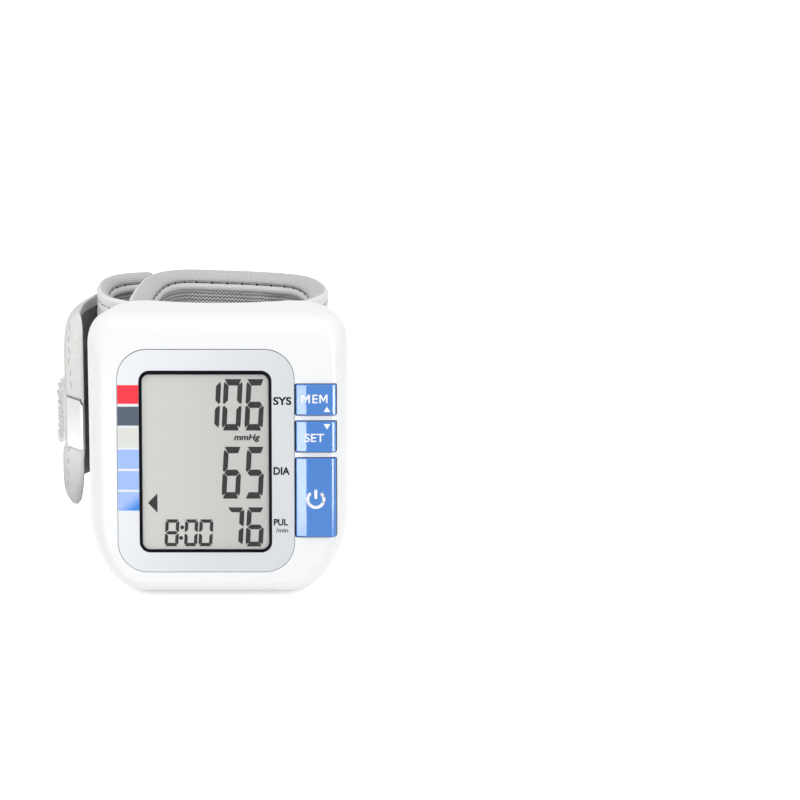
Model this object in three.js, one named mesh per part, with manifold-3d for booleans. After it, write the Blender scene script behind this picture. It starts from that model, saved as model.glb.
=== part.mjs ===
// Wrist blood pressure monitor: a wedge-shaped casing with a display and three buttons,
// on a padded wrist cuff that is cinched by a strap through a steel ring.
// Millimetres, +Z up. The origin is the middle of the rear casing's flat base,
// +X is to the right of the display and +Y runs from the display to the wrist.
import * as THREE from "three";
import { mergeVertices } from "three/addons/utils/BufferGeometryUtils.js";
import Module from "manifold-3d";

const wasm = await Module();
wasm.setup();

// Casing
const BODY_WIDTH = 66;
const BODY_HEIGHT = 72;
const TOP_CORNER = 12;
const BASE_CORNER_X = 14.5;
const BASE_CORNER_Z = 21;
const LEAN = THREE.MathUtils.degToRad(6);
const FRONT_Y = -23;
const PARTING_Y = -9;
const BACK_Y = 6.5;
const FRONT_ROUND = 4.5;
const BACK_ROUND = 2.5;
const WALL = 2.2;
const WRIST_RADIUS = 48;
const WRIST_APEX_Y = 1.5;
const GAP = 0.3;
const OVERSHOOT = 2;
const CORNER_STEPS = 3;
const ROUND_STEPS = 5;

// Display stack, in the leaning front's own frame: x across, v up the face, y into the casing
const PLATE = { x0: -25.1, v0: 7.7, x1: 19.6, v1: 64.4, corner: 7.5 };
const PLATE_PROUD = 0.15;
const PLATE_BACK = 1.0;
const PLATE_PLAY = 0.25;
const RECESS_DEPTH = 1.3;
const BORDER = { x0: -19.6, v0: 12.8, x1: 14.0, v1: 58.9, corner: 2.6 };
const BORDER_WIDTH = 0.9;
const BORDER_PROUD = 0.3;
const LENS_PROUD = 0.1;
const LENS_PLAY = 0.15;
const WINDOW_DEPTH = 4;
const LCD_OUTLINE = { ...BORDER, corner: 1 };
const LCD_FRONT = 1.25;
const LCD_THICK = 1.8;
const LCD_INSET = 0.6;
const TRAY_FRONT = 3.3;
const TRAY_RIM = 1.2;
const ZEBRA = { side: 2, rise: 1.8, height: 2, corner: 0.2 };
const BOARD_FRONT = 5.6;
const BOARD_THICK = 1;
const BOARD = { x0: -27, v0: 13.2, x1: 28.4, v1: 60.4, corner: 5 };

// Buttons
const BUTTON_X0 = 20.1;
const BUTTON_X1 = 30.6;
const BUTTON_CORNER = 0.7;
const BUTTON_PROUD = 0.5;
const BUTTON_DEPTH = 2.9;
const BUTTON_PLAY = 0.35;
const BUTTON_CUT = 5;
const FLANGE = { reach: 1, edge: 0.5, x1: 28, lap: 0.2 };
const BUTTONS = [
  { name: "memory_button", v0: 47.3, v1: 55.9 },
  { name: "set_button", v0: 37.9, v1: 46.4 },
  { name: "power_button", v0: 16.4, v1: 37.0 },
];
const STEM_END = 3.5;
const STEM_RADIUS = 1.5;
const SWITCH_TOP = 4.4;
const SWITCH_SIZE = 4.6;
const PLUNGER_RADIUS = 1.2;
const PLUNGER_RISE = 0.3;
const SOLDER_GAP = 0.2;
const BUZZER = { x: -21.5, v: 53.5, radius: 4.6, thick: 2 };
const SENSOR = { v: 57, halfX: 4, halfV: 3.2, thick: 1.4, portRadius: 1.4, portRise: 0.8 };

// Case screws and their posts, as x and z of the axis
const SCREWS = [
  [-23, 8],
  [23, 8],
  [-24.5, 63.5],
  [24.5, 63.5],
];
const SCREW_SEAT_Y = -3;
const SCREW_TIP_Y = -12.5;
const SCREW_RADIUS = 1.3;
const SCREW_PLAY = 0.2;
const SCREW_SPARE = 0.5;
const HEAD_RADIUS = 2.2;
const HEAD_HEIGHT = 1.8;
const CROSS = { half: 1.4, slot: 0.5, depth: 1 };
const REAR_POST = 3.2;
const FRONT_POST = 2.7;

// Batteries and their door
const CELL_RADIUS = 5.25;
const CELL_LENGTH = 44.5;
const CELL_BASE = 13.2;
const CELL_NUB = 0.8;
const CELL_EDGE = 0.5;
const NUB_RADIUS = 1.9;
const CELLS = [
  [12.2, -4.6],
  [22.9, -1.3],
];
const DOOR = { x0: 27, x1: 40, y0: -7, y1: 4.2, z0: 12.9, z1: 58.9 };
const DOOR_RIM = { inset: 0.8, width: 1, depth: 1.6 };
const RIDGES = { count: 4, z: 44, pitch: 2.4, height: 1, y0: -4, y1: 2, proud: 0.4 };
const BAY_RIB_X = 5.2;
const BAY_RIB = 1;
const BAY_PLATE = 1.2;
const BAY_BELOW = 1.4;
const BAY_ABOVE = 1.5;
const CONTACT = { thick: 0.5, radius: 3.6, below: 1, above: 0.5, reach: 3.2 };
const SOLDER_TAB = { half: 1.2, reach: 5.4 };

// Air system
const AIR_Y = -4.5;
const AIR_TOP = 55;
const PUMP_X = -20;
const MOTOR_RADIUS = 6;
const MOTOR_Z = [14, 35.8];
const HEAD_Z = [36.2, 46];
const HEAD_CAVITY = 4.9;
const HEAD_LIP = 0.4;
const HEAD_ROOF = 3;
const CRANK = { shaftRadius: 1, shaftLength: 5.4, throwX: 1.2, radius: 3.2, z0: 1, z1: 4.5 };
const VALVE_X = -6;
const VALVE_Y = -5.2;
const VALVE_SIZE = 8.2;
const PLUNGER = { radius: 1.7, play: 0.5, below: 1.5, above: 5 };
const VALVE_Z = [14.5, 28];
const NIPPLE_X = -12;
const NIPPLE_Z = 57.5;
const NIPPLE_END_Y = 5.5;
const TUBE_RADIUS = 2;
const TUBE_BORE = 1.1;
const SPIGOT_RADIUS = 0.8;
const SPIGOT_REACH = 2;
const MANIFOLD_DEPTH = 5;
const MANIFOLD_END = 3;

// Cuff band: waypoints of its middle line, from the free end inside the left fold,
// round the wrist and along the casing's back to the outer left fold
const BAND_ROUTE = [
  [-21.6, 11],
  [-21, 18],
  [-20.1, 28],
  [-18.5, 37],
  [-15.5, 42.6],
  [-11.5, 44.8],
  [-3, 43.8],
  [6, 42],
  [14, 39.5],
  [19.6, 36.2],
  [23, 30],
  [25, 22],
  [24.6, 15],
  [21.2, 10.4],
  [16, 8],
  [10, 6.3],
  [0, 5.1],
  [-10, 6.3],
  [-16, 7.7],
  [-22, 8.3],
  [-26.2, 9.4],
  [-29.4, 13.6],
  [-31.3, 20],
  [-31.9, 28],
  [-31, 36.4],
  [-28, 41.6],
  [-22.4, 43.8],
];
const BAND_HEIGHT = 72;
const BINDING_HEIGHT = 3.8;
const BAND_HALF = 2.3;
const THIN_HALF = 1.3;
const THIN_FROM = 0.48;
const THIN_TO = 0.72;
const COVER_THICK = 0.8;
const STIFFENER_THICK = 0.7;
const BLADDER_THICK = 1.3;
const LINING_THICK = 0.8;
const BAND_STEPS = 76;
const SPARE_STEPS = 1;
const MOUNT_PLATE = { half: 16, z0: 16, z1: 62, thick: 0.8 };

// Closure strap, its ring and its free tail
const STRAP_Z = [19, 65.5];
const STRAP_HALF = 0.7;
const FOLD_STEP = 1.6;
const STRAP_ROUTE = [
  [-26.5, 45.6],
  [-21.5, 47.2],
  [-16, 48.7],
  [-11, 48.8],
  [-2, 47.4],
  [5, 45.7],
  [8.2, 45],
  [10.75, 47.5],
  [8.2, 50],
  [4, 50.9],
  [-4, 52.1],
  [-12, 52.6],
  [-20, 51.6],
  [-27, 49.2],
  [-31.9, 46.3],
];
const RING_BAR = 2.2;
const RING_HEIGHT = 54;
const RING_CORNER = 2.4;
const RING_LEFT = [8, 47.5];
const RING_RIGHT = [16, 44.7];
const TAB_HALF = 0.5;
const TAB_ROUTE = [
  [22.9, 37.5],
  [20.3, 40],
  [17.2, 42.1],
  [14.3, 42.8],
  [13.3, 45],
  [16.2, 47.2],
  [21.3, 43.1],
  [24.6, 39],
];
const TAIL_PIVOT = [-33.6, 45.2];
const TAIL_HALF = 1.6;
const TAIL_ROUTE = [
  TAIL_PIVOT,
  [-36.6, 41.6],
  [-39.2, 34],
  [-40.2, 24],
  [-39.4, 16.8],
  [-37.4, 12],
];
// The tail's outline seen from the side: distance back from its tip, and height
const TAIL_EDGE = [
  [0, 21],
  [1.4, 17],
  [3.4, 15.5],
  [5.8, 16.6],
  [10, 19.4],
  [40, 19.4],
  [40, 65.5],
  [14, 65.2],
  [3.4, 64.4],
  [0, 61.4],
];
const CLIP = { z0: 31, z1: 44.4, reach: 5.6, lip: 2.6, thick: 0.5, gap: 0.2 };
const PATCH = { z0: 31, z1: 45.4, from: 6.4, to: 26, thick: 1.3 };

const FINISH = {
  casing: [0xf3f5f7, 0.35, 0],
  silver: [0xe6e9ec, 0.3, 0.1],
  navy: [0x182033, 0.3, 0],
  clear: [0xe8edf0, 0.05, 0],
  lcd: [0xd3d4cf, 0.25, 0],
  blue: [0x4a86d4, 0.25, 0],
  board: [0x2c6b45, 0.6, 0],
  black: [0x202225, 0.5, 0],
  steel: [0xc9ccd0, 0.25, 1],
  brass: [0xc9a45a, 0.3, 1],
  cell: [0x2f6f8f, 0.35, 0.4],
  nylon: [0xe9e6dc, 0.5, 0],
  silicone: [0xdfe3e2, 0.6, 0],
  cloth: [0xb9bbbd, 0.9, 0],
  lining: [0x55585c, 0.95, 0],
  binding: [0xd2d4d5, 0.85, 0],
  fuzz: [0xf0f0ee, 1, 0],
};

const root = new THREE.Group();
const front = new THREE.Group();
front.position.set(0, FRONT_Y, 0);
front.rotation.x = -LEAN;
front.updateMatrix();
root.add(front);

// Each sub-part gets a material of its own, so that one can be changed alone.
function place(name, geometry, finish, parent = root) {
  const [color, roughness, metalness] = FINISH[finish];
  const material = new THREE.MeshStandardMaterial({ color, roughness, metalness });
  const mesh = new THREE.Mesh(geometry, material);
  mesh.name = name;
  parent.add(mesh);
}

// Joining and cutting
function solid(geometry) {
  const bare = geometry.index ? geometry.toNonIndexed() : geometry.clone();
  bare.deleteAttribute("normal");
  bare.deleteAttribute("uv");
  const merged = mergeVertices(bare, 1e-4);
  return new wasm.Manifold(
    new wasm.Mesh({
      numProp: 3,
      vertProperties: merged.attributes.position.array,
      triVerts: new Uint32Array(merged.index.array),
    }),
  );
}

function geometryOf(shape) {
  const mesh = shape.getMesh();
  const geometry = new THREE.BufferGeometry();
  geometry.setAttribute("position", new THREE.BufferAttribute(mesh.vertProperties, 3));
  geometry.setIndex(new THREE.BufferAttribute(mesh.triVerts, 1));
  const faceted = geometry.toNonIndexed();
  faceted.computeVertexNormals();
  return faceted;
}

function join(...geometries) {
  return geometries.map(solid).reduce((all, next) => all.add(next));
}

// Plain forms
function box(x0, y0, z0, x1, y1, z1) {
  const block = new THREE.BoxGeometry(x1 - x0, y1 - y0, z1 - z0);
  return block.translate((x0 + x1) / 2, (y0 + y1) / 2, (z0 + z1) / 2);
}

function rodAlongY(radius, x, z, y0, y1, sides = 12) {
  const rod = new THREE.CylinderGeometry(radius, radius, y1 - y0, sides);
  return rod.translate(x, (y0 + y1) / 2, z);
}

function postAlongZ(radius, x, y, z0, z1, sides = 14) {
  const post = new THREE.CylinderGeometry(radius, radius, z1 - z0, sides);
  return post.rotateX(Math.PI / 2).translate(x, y, (z0 + z1) / 2);
}

// A tube round an upright axis, open at both ends.
function sleeve(outer, bore, x, y, z0, z1) {
  const profile = [
    new THREE.Vector2(bore, z0),
    new THREE.Vector2(outer, z0),
    new THREE.Vector2(outer, z1),
    new THREE.Vector2(bore, z1),
    new THREE.Vector2(bore, z0),
  ];
  return new THREE.LatheGeometry(profile, 12).rotateX(Math.PI / 2).translate(x, y, 0);
}

function roundRect({ x0, v0, x1, v1, corner }, grow = 0) {
  const radius = Math.max(corner + grow, 0.2);
  const left = x0 - grow + radius;
  const right = x1 + grow - radius;
  const low = v0 - grow + radius;
  const high = v1 + grow - radius;
  const quarter = Math.PI / 2;
  const shape = new THREE.Shape();
  shape.absarc(right, low, radius, -quarter, 0);
  shape.absarc(right, high, radius, 0, quarter);
  shape.absarc(left, high, radius, quarter, 2 * quarter);
  shape.absarc(left, low, radius, 2 * quarter, 3 * quarter);
  return shape;
}

// An upright outline pushed from depth y0 to depth y1.
function slab(shape, y0, y1, curveSegments = 3) {
  const plate = new THREE.ExtrudeGeometry(shape, {
    depth: y1 - y0,
    bevelEnabled: false,
    curveSegments,
  });
  return plate.rotateX(Math.PI / 2).translate(0, y1, 0);
}

function ringSlab(outer, inner, y0, y1) {
  outer.holes.push(new THREE.Path(inner.getPoints(3)));
  return slab(outer, y0, y1);
}

function leaned(geometry) {
  return geometry.applyMatrix4(front.matrix);
}

// Casing forms: a rounded outline carried from the leaning front to the upright back
function bodyOutline(inset) {
  const outline = new THREE.Shape();
  const half = BODY_WIDTH / 2 - inset;
  const top = TOP_CORNER - inset;
  const baseX = BASE_CORNER_X - inset;
  const baseZ = BASE_CORNER_Z - inset;
  const high = BODY_HEIGHT - inset - top;
  const low = inset + baseZ;
  const quarter = Math.PI / 2;
  outline.absellipse(half - baseX, low, baseX, baseZ, -quarter, 0);
  outline.absarc(half - top, high, top, 0, quarter);
  outline.absarc(top - half, high, top, quarter, 2 * quarter);
  outline.absellipse(baseX - half, low, baseX, baseZ, 2 * quarter, 3 * quarter);
  return outline.getPoints(CORNER_STEPS);
}

function loft(rings) {
  const count = rings[0].length;
  const last = (rings.length - 1) * count;
  const faces = [];
  for (let r = 0; r + 1 < rings.length; r++) {
    for (let i = 0; i < count; i++) {
      const a = r * count + i;
      const b = r * count + ((i + 1) % count);
      faces.push(a, a + count, b, b, a + count, b + count);
    }
  }
  for (let i = 1; i + 1 < count; i++) {
    faces.push(0, i, i + 1, last, last + i + 1, last + i);
  }
  const geometry = new THREE.BufferGeometry().setFromPoints(rings.flat());
  return geometry.setIndex(faces);
}

// The front half, with its face moved in by shrink, back to the plane endY.
function frontForm(shrink, endY) {
  const rings = [];
  for (let k = 0; k <= ROUND_STEPS; k++) {
    const turn = (k / ROUND_STEPS) * (Math.PI / 2);
    const inset = FRONT_ROUND * (1 - Math.sin(turn)) + shrink;
    const along = 1 - Math.cos(turn);
    const ring = bodyOutline(inset).map(({ x, y: z }) => {
      const faceY = FRONT_Y + z * Math.tan(LEAN) + shrink / Math.cos(LEAN);
      return new THREE.Vector3(x, THREE.MathUtils.lerp(faceY, endY, along), z);
    });
    rings.push(ring);
  }
  return solid(loft(rings));
}

// The rear half, from the plane startY to the rounded back with the wrist hollow cut in it.
function rearForm(shrink, startY) {
  const upright = (inset, y) => bodyOutline(inset).map((p) => new THREE.Vector3(p.x, y, p.y));
  const rings = [upright(shrink, startY)];
  for (let k = 0; k <= ROUND_STEPS; k++) {
    const turn = (k / ROUND_STEPS) * (Math.PI / 2);
    const inset = BACK_ROUND * (1 - Math.cos(turn)) + shrink;
    const y = BACK_Y - BACK_ROUND + (BACK_ROUND - shrink) * Math.sin(turn);
    rings.push(upright(inset, y));
  }
  const wristY = WRIST_APEX_Y + WRIST_RADIUS;
  const high = BODY_HEIGHT + OVERSHOOT;
  const wrist = postAlongZ(WRIST_RADIUS + shrink, 0, wristY, -OVERSHOOT, high, 64);
  return solid(loft(rings)).subtract(solid(wrist));
}

function buttonOutline({ v0, v1 }, grow = 0) {
  return roundRect({ x0: BUTTON_X0, v0, x1: BUTTON_X1, v1, corner: BUTTON_CORNER }, grow);
}

function makeFrontCasing() {
  const endY = PARTING_Y - GAP / 2;
  const outer = frontForm(0, endY);
  let shell = outer.subtract(frontForm(WALL, PARTING_Y + OVERSHOOT / 2));
  for (const [x, z] of SCREWS) {
    const post = solid(rodAlongY(FRONT_POST, x, z, FRONT_Y, endY)).intersect(outer);
    const bore = rodAlongY(SCREW_RADIUS + SCREW_PLAY, x, z, SCREW_TIP_Y - SCREW_SPARE, 0);
    shell = shell.add(post).subtract(solid(bore));
  }
  const recess = leaned(slab(roundRect(PLATE, PLATE_PLAY), -OVERSHOOT, RECESS_DEPTH));
  const window = leaned(slab(roundRect(LCD_OUTLINE, -GAP), -OVERSHOOT, WINDOW_DEPTH));
  shell = shell.subtract(solid(recess)).subtract(solid(window));
  for (const button of BUTTONS) {
    const way = slab(buttonOutline(button, BUTTON_PLAY), -OVERSHOOT, BUTTON_CUT, 1);
    shell = shell.subtract(solid(leaned(way)));
  }
  place("front_casing", geometryOf(shell), "casing");
}

function doorCut(play) {
  const { x0, x1, y0, y1, z0, z1 } = DOOR;
  return solid(box(x0, y0 + play, z0 + play, x1, y1 - play, z1 - play));
}

function makeRearCasing() {
  const startY = PARTING_Y + GAP / 2;
  const outer = rearForm(0, startY);
  let shell = outer.subtract(rearForm(WALL, PARTING_Y - OVERSHOOT));
  const wallX = BODY_WIDTH / 2 - WALL / 2;
  const floorZ = CELL_BASE - BAY_BELOW - BAY_PLATE;
  const roofZ = CELL_BASE + CELL_LENGTH + BAY_ABOVE;
  const bay = join(
    box(BAY_RIB_X, startY, floorZ, wallX, BACK_Y, floorZ + BAY_PLATE),
    box(BAY_RIB_X, startY, roofZ, wallX, BACK_Y, roofZ + BAY_PLATE),
    box(BAY_RIB_X, startY, floorZ, BAY_RIB_X + BAY_RIB, BACK_Y, roofZ + BAY_PLATE),
  );
  shell = shell.add(bay.intersect(outer));
  for (const [x, z] of SCREWS) {
    shell = shell.add(solid(rodAlongY(REAR_POST, x, z, startY, BACK_Y)).intersect(outer));
    const bore = rodAlongY(SCREW_RADIUS + SCREW_PLAY, x, z, PARTING_Y - OVERSHOOT, BACK_Y);
    const headWay = rodAlongY(HEAD_RADIUS + GAP, x, z, SCREW_SEAT_Y, BACK_Y + OVERSHOOT);
    shell = shell.subtract(solid(bore)).subtract(solid(headWay));
  }
  shell = shell.subtract(doorCut(0));
  shell = shell.subtract(solid(rodAlongY(TUBE_RADIUS + GAP, NIPPLE_X, NIPPLE_Z, 0, BACK_Y)));
  place("rear_casing", geometryOf(shell), "casing");
}

// The battery door: a piece of the side wall with a locating rim and thumb ridges.
function makeBatteryCover() {
  const wall = rearForm(0, PARTING_Y).subtract(rearForm(WALL, PARTING_Y - OVERSHOOT));
  const outerX = BODY_WIDTH / 2;
  const innerX = outerX - WALL;
  const rimBlock = (inset, x0, x1) => {
    const { y0, y1, z0, z1 } = DOOR;
    return solid(box(x0, y0 + inset, z0 + inset, x1, y1 - inset, z1 - inset));
  };
  const { inset, width, depth } = DOOR_RIM;
  const rim = rimBlock(inset, innerX - depth, innerX + WALL / 2);
  const hollow = rimBlock(inset + width, innerX - OVERSHOOT, innerX);
  let door = wall.intersect(doorCut(GAP)).add(rim.subtract(hollow));
  for (let k = 0; k < RIDGES.count; k++) {
    const { y0, y1, height, proud } = RIDGES;
    const z = RIDGES.z + k * RIDGES.pitch;
    door = door.add(solid(box(innerX + WALL / 2, y0, z, outerX + proud, y1, z + height)));
  }
  place("battery_cover", geometryOf(door), "casing");
}

function makeDisplay() {
  const opening = roundRect(BORDER, SOLDER_GAP);
  const plate = ringSlab(roundRect(PLATE), opening, -PLATE_PROUD, PLATE_BACK);
  place("faceplate", plate, "silver", front);
  const glass = roundRect(BORDER, -BORDER_WIDTH);
  const border = ringSlab(roundRect(BORDER), glass, -BORDER_PROUD, PLATE_BACK);
  place("display_frame", border, "navy", front);
  const lensOutline = roundRect(BORDER, -BORDER_WIDTH - LENS_PLAY);
  place("display_lens", slab(lensOutline, -LENS_PROUD, PLATE_BACK - LENS_PROUD), "clear", front);
  const lcd = slab(roundRect(LCD_OUTLINE, -LCD_INSET), LCD_FRONT, LCD_FRONT + LCD_THICK);
  place("lcd_panel", lcd, "lcd", front);
  const trayBack = BOARD_FRONT - GAP;
  const trayHole = roundRect(BORDER, -TRAY_RIM);
  place("lcd_tray", ringSlab(roundRect(BORDER, TRAY_RIM), trayHole, TRAY_FRONT, trayBack), "nylon", front);
  const zebra = roundRect({
    x0: BORDER.x0 + ZEBRA.side,
    v0: BORDER.v0 + ZEBRA.rise,
    x1: BORDER.x1 - ZEBRA.side,
    v1: BORDER.v0 + ZEBRA.rise + ZEBRA.height,
    corner: ZEBRA.corner,
  });
  place("zebra_connector", slab(zebra, TRAY_FRONT, trayBack), "black", front);
  const board = slab(roundRect(BOARD), BOARD_FRONT, BOARD_FRONT + BOARD_THICK);
  place("main_board", board, "board", front);
}

// Each button is a cap with a flange behind the casing's wall and a stem over its switch.
function makeButtons() {
  const envelope = frontForm(-BUTTON_PROUD, PARTING_Y);
  const middleX = (BUTTON_X0 + BUTTON_X1) / 2;
  const half = SWITCH_SIZE / 2;
  const switchTop = SWITCH_TOP + PLUNGER_RISE;
  for (const button of BUTTONS) {
    const { name, v0, v1 } = button;
    const middleV = (v0 + v1) / 2;
    const capForm = leaned(slab(buttonOutline(button), -OVERSHOOT, BUTTON_DEPTH, 1));
    const flange = leaned(box(
      BUTTON_X0 - FLANGE.reach, WALL + GAP, v0 + FLANGE.edge,
      FLANGE.x1, BUTTON_DEPTH + FLANGE.lap, v1 - FLANGE.edge,
    ));
    const stem = leaned(rodAlongY(STEM_RADIUS, middleX, middleV, WALL, STEM_END));
    const cap = solid(capForm).intersect(envelope);
    place(name, geometryOf(cap.add(join(flange, stem))), "blue");
    const body = box(
      middleX - half, switchTop, middleV - half,
      middleX + half, BOARD_FRONT - SOLDER_GAP, middleV + half,
    );
    const plunger = rodAlongY(PLUNGER_RADIUS, middleX, middleV, SWITCH_TOP, switchTop + PLUNGER_RISE);
    place(name.replace("button", "switch"), geometryOf(join(body, plunger)), "black", front);
  }
}

function makeBoardParts() {
  const seat = BOARD_FRONT + BOARD_THICK + SOLDER_GAP;
  const buzzer = rodAlongY(BUZZER.radius, BUZZER.x, BUZZER.v, seat, seat + BUZZER.thick);
  place("buzzer", buzzer, "black", front);
  const { v, halfX, halfV, thick, portRadius, portRise } = SENSOR;
  const top = seat + thick;
  const body = box(NIPPLE_X - halfX, seat, v - halfV, NIPPLE_X + halfX, top, v + halfV);
  const port = rodAlongY(portRadius, NIPPLE_X, v, top - portRise, top + portRise);
  place("pressure_sensor", geometryOf(join(body, port)), "black", front);
}

function makeScrews() {
  const top = SCREW_SEAT_Y + HEAD_HEIGHT;
  const seat = SCREW_SEAT_Y + SCREW_PLAY;
  const { half, slot, depth } = CROSS;
  SCREWS.forEach(([x, z], i) => {
    const head = rodAlongY(HEAD_RADIUS, x, z, seat, top);
    const shank = rodAlongY(SCREW_RADIUS, x, z, SCREW_TIP_Y, seat + SCREW_SPARE);
    const across = box(x - half, top - depth, z - slot / 2, x + half, top + depth, z + slot / 2);
    const upright = box(x - slot / 2, top - depth, z - half, x + slot / 2, top + depth, z + half);
    const screw = join(head, shank).subtract(join(across, upright));
    place(`case_screw_${i + 1}`, geometryOf(screw), "steel");
  });
}

// A cell stands on CELL_BASE with its nub up, or is turned over.
function makeCell(name, x, y, nubUp) {
  const shoulder = CELL_LENGTH - CELL_NUB;
  const profile = [
    new THREE.Vector2(0, 0),
    new THREE.Vector2(CELL_RADIUS - CELL_EDGE, 0),
    new THREE.Vector2(CELL_RADIUS, CELL_EDGE),
    new THREE.Vector2(CELL_RADIUS, shoulder - CELL_EDGE),
    new THREE.Vector2(CELL_RADIUS - CELL_EDGE, shoulder),
    new THREE.Vector2(NUB_RADIUS, shoulder),
    new THREE.Vector2(NUB_RADIUS, CELL_LENGTH),
    new THREE.Vector2(0, CELL_LENGTH),
  ];
  const cell = new THREE.LatheGeometry(profile, 20).rotateX(Math.PI / 2);
  if (!nubUp) {
    cell.rotateX(Math.PI).translate(0, 0, CELL_LENGTH);
  }
  place(name, cell.translate(x, y, CELL_BASE), "cell");
}

function makeBatteries() {
  const [left, right] = CELLS;
  makeCell("battery_cell_1", ...left, true);
  makeCell("battery_cell_2", ...right, false);
  const { thick, radius, below, above, reach } = CONTACT;
  const low = CELL_BASE - below;
  const high = CELL_BASE + CELL_LENGTH + above;
  const bridge = ribbon([left, right]);
  const bar = strip(bridge, {
    from: -reach,
    to: bridge.length + reach,
    inner: -reach,
    outer: reach,
    low,
    high: low + thick,
  });
  place("battery_bridge_contact", bar, "brass");
  const contacts = [
    ["battery_positive_contact", left],
    ["battery_negative_contact", right],
  ];
  for (const [name, [x, y]] of contacts) {
    const disc = postAlongZ(radius, x, y, high, high + thick);
    const { half, reach: tabReach } = SOLDER_TAB;
    const solderTab = box(x - half, y - tabReach, high, x + half, y, high + thick);
    place(name, geometryOf(join(disc, solderTab)), "brass");
  }
}

// The pump's motor turns a crank inside the pump head.
function makePump() {
  const [motorLow, motorHigh] = MOTOR_Z;
  const [headLow, headHigh] = HEAD_Z;
  const can = postAlongZ(MOTOR_RADIUS, PUMP_X, AIR_Y, motorLow, motorHigh, 20);
  place("pump_motor", can, "steel");
  const half = MOTOR_RADIUS + HEAD_LIP;
  const depth = HEAD_CAVITY + HEAD_LIP;
  const block = box(PUMP_X - half, AIR_Y - depth, headLow, PUMP_X + half, AIR_Y + depth, headHigh);
  const outlet = spigot(PUMP_X, headHigh);
  const cavity = postAlongZ(HEAD_CAVITY, PUMP_X, AIR_Y, headLow - OVERSHOOT, headHigh - HEAD_ROOF);
  place("pump_head", geometryOf(join(block, outlet).subtract(solid(cavity))), "nylon");
  const { shaftRadius, shaftLength, throwX, radius, z0, z1 } = CRANK;
  const shaft = postAlongZ(shaftRadius, PUMP_X, AIR_Y, headLow, headLow + shaftLength, 10);
  const eccentric = postAlongZ(radius, PUMP_X + throwX, AIR_Y, headLow + z0, headLow + z1);
  place("pump_crank", geometryOf(join(shaft, eccentric)), "nylon");
}

// A short upright pipe stub, half in the piece that carries it.
function spigot(x, z) {
  return postAlongZ(SPIGOT_RADIUS, x, AIR_Y, z - SPIGOT_REACH, z + SPIGOT_REACH, 10);
}

// The valve's plunger lets the air out.
function makeValve() {
  const [valveLow, valveHigh] = VALVE_Z;
  const half = VALVE_SIZE / 2;
  const coil = box(
    VALVE_X - half, VALVE_Y - half, valveLow,
    VALVE_X + half, VALVE_Y + half, valveHigh,
  );
  const { radius, play, below, above } = PLUNGER;
  const wayTop = valveHigh - above + OVERSHOOT;
  const way = postAlongZ(radius + play, VALVE_X, VALVE_Y, valveLow - OVERSHOOT, wayTop);
  const valve = join(coil, spigot(VALVE_X, valveHigh)).subtract(solid(way));
  place("release_valve", geometryOf(valve), "steel");
  const plunger = postAlongZ(radius, VALVE_X, VALVE_Y, valveLow - below, valveHigh - above);
  place("valve_plunger", plunger, "brass");
}

function makeAirLines() {
  const half = MANIFOLD_DEPTH / 2;
  const left = PUMP_X - MANIFOLD_END;
  const right = VALVE_X + MANIFOLD_END;
  const top = AIR_TOP + MANIFOLD_DEPTH;
  const body = box(left, AIR_Y - half, AIR_TOP, right, AIR_Y + half, top);
  const cuffLeg = rodAlongY(SPIGOT_RADIUS, NIPPLE_X, NIPPLE_Z, AIR_Y, AIR_Y + half + SPIGOT_REACH, 10);
  const legs = [spigot(PUMP_X, AIR_TOP), spigot(VALVE_X, AIR_TOP), cuffLeg];
  place("air_manifold", geometryOf(join(body, ...legs)), "nylon");
  const tubes = [
    ["air_tube_pump", PUMP_X, HEAD_Z[1]],
    ["air_tube_valve", VALVE_X, VALVE_Z[1]],
  ];
  for (const [name, x, z] of tubes) {
    place(name, sleeve(TUBE_RADIUS, TUBE_BORE, x, AIR_Y, z + GAP, AIR_TOP - GAP), "silicone");
  }
  const pipe = rodAlongY(TUBE_RADIUS, NIPPLE_X, NIPPLE_Z, AIR_Y + half + GAP, NIPPLE_END_Y);
  const pipeBore = rodAlongY(TUBE_BORE, NIPPLE_X, NIPPLE_Z, AIR_Y, BACK_Y);
  place("air_nipple", geometryOf(solid(pipe).subtract(solid(pipeBore))), "silicone");
}

// A ribbon is a smooth route on the floor plan. side gives the point at a distance along it,
// set off to the left of the way it runs, which is the outside of the cuff.
function ribbon(route) {
  const points = route.map(([x, y]) => new THREE.Vector3(x, y, 0));
  const curve = new THREE.CatmullRomCurve3(points, false, "centripetal");
  curve.arcLengthDivisions = 600;
  const length = curve.getLength();
  const side = (distance, offset) => {
    const u = THREE.MathUtils.clamp(distance / length, 0, 1);
    const beyond = distance - u * length;
    const p = curve.getPointAt(u);
    const t = curve.getTangentAt(u);
    return new THREE.Vector2(
      p.x + t.x * beyond - t.y * offset,
      p.y + t.y * beyond + t.x * offset,
    );
  };
  return { length, side };
}

// A strip stands between two offsets from a ribbon and two heights. swell scales the offsets.
function strip(path, { from, to, inner, outer, low, high, step = 3.4, swell = () => 1 }) {
  const steps = Math.max(1, Math.round((to - from) / step));
  const right = [];
  const left = [];
  for (let i = 0; i <= steps; i++) {
    const distance = from + ((to - from) * i) / steps;
    right.push(path.side(distance, inner * swell(distance)));
    left.push(path.side(distance, outer * swell(distance)));
  }
  const shape = new THREE.Shape([...right, ...left.reverse()]);
  const sheet = new THREE.ExtrudeGeometry(shape, { depth: high - low, bevelEnabled: false });
  return sheet.translate(0, 0, low);
}

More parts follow.
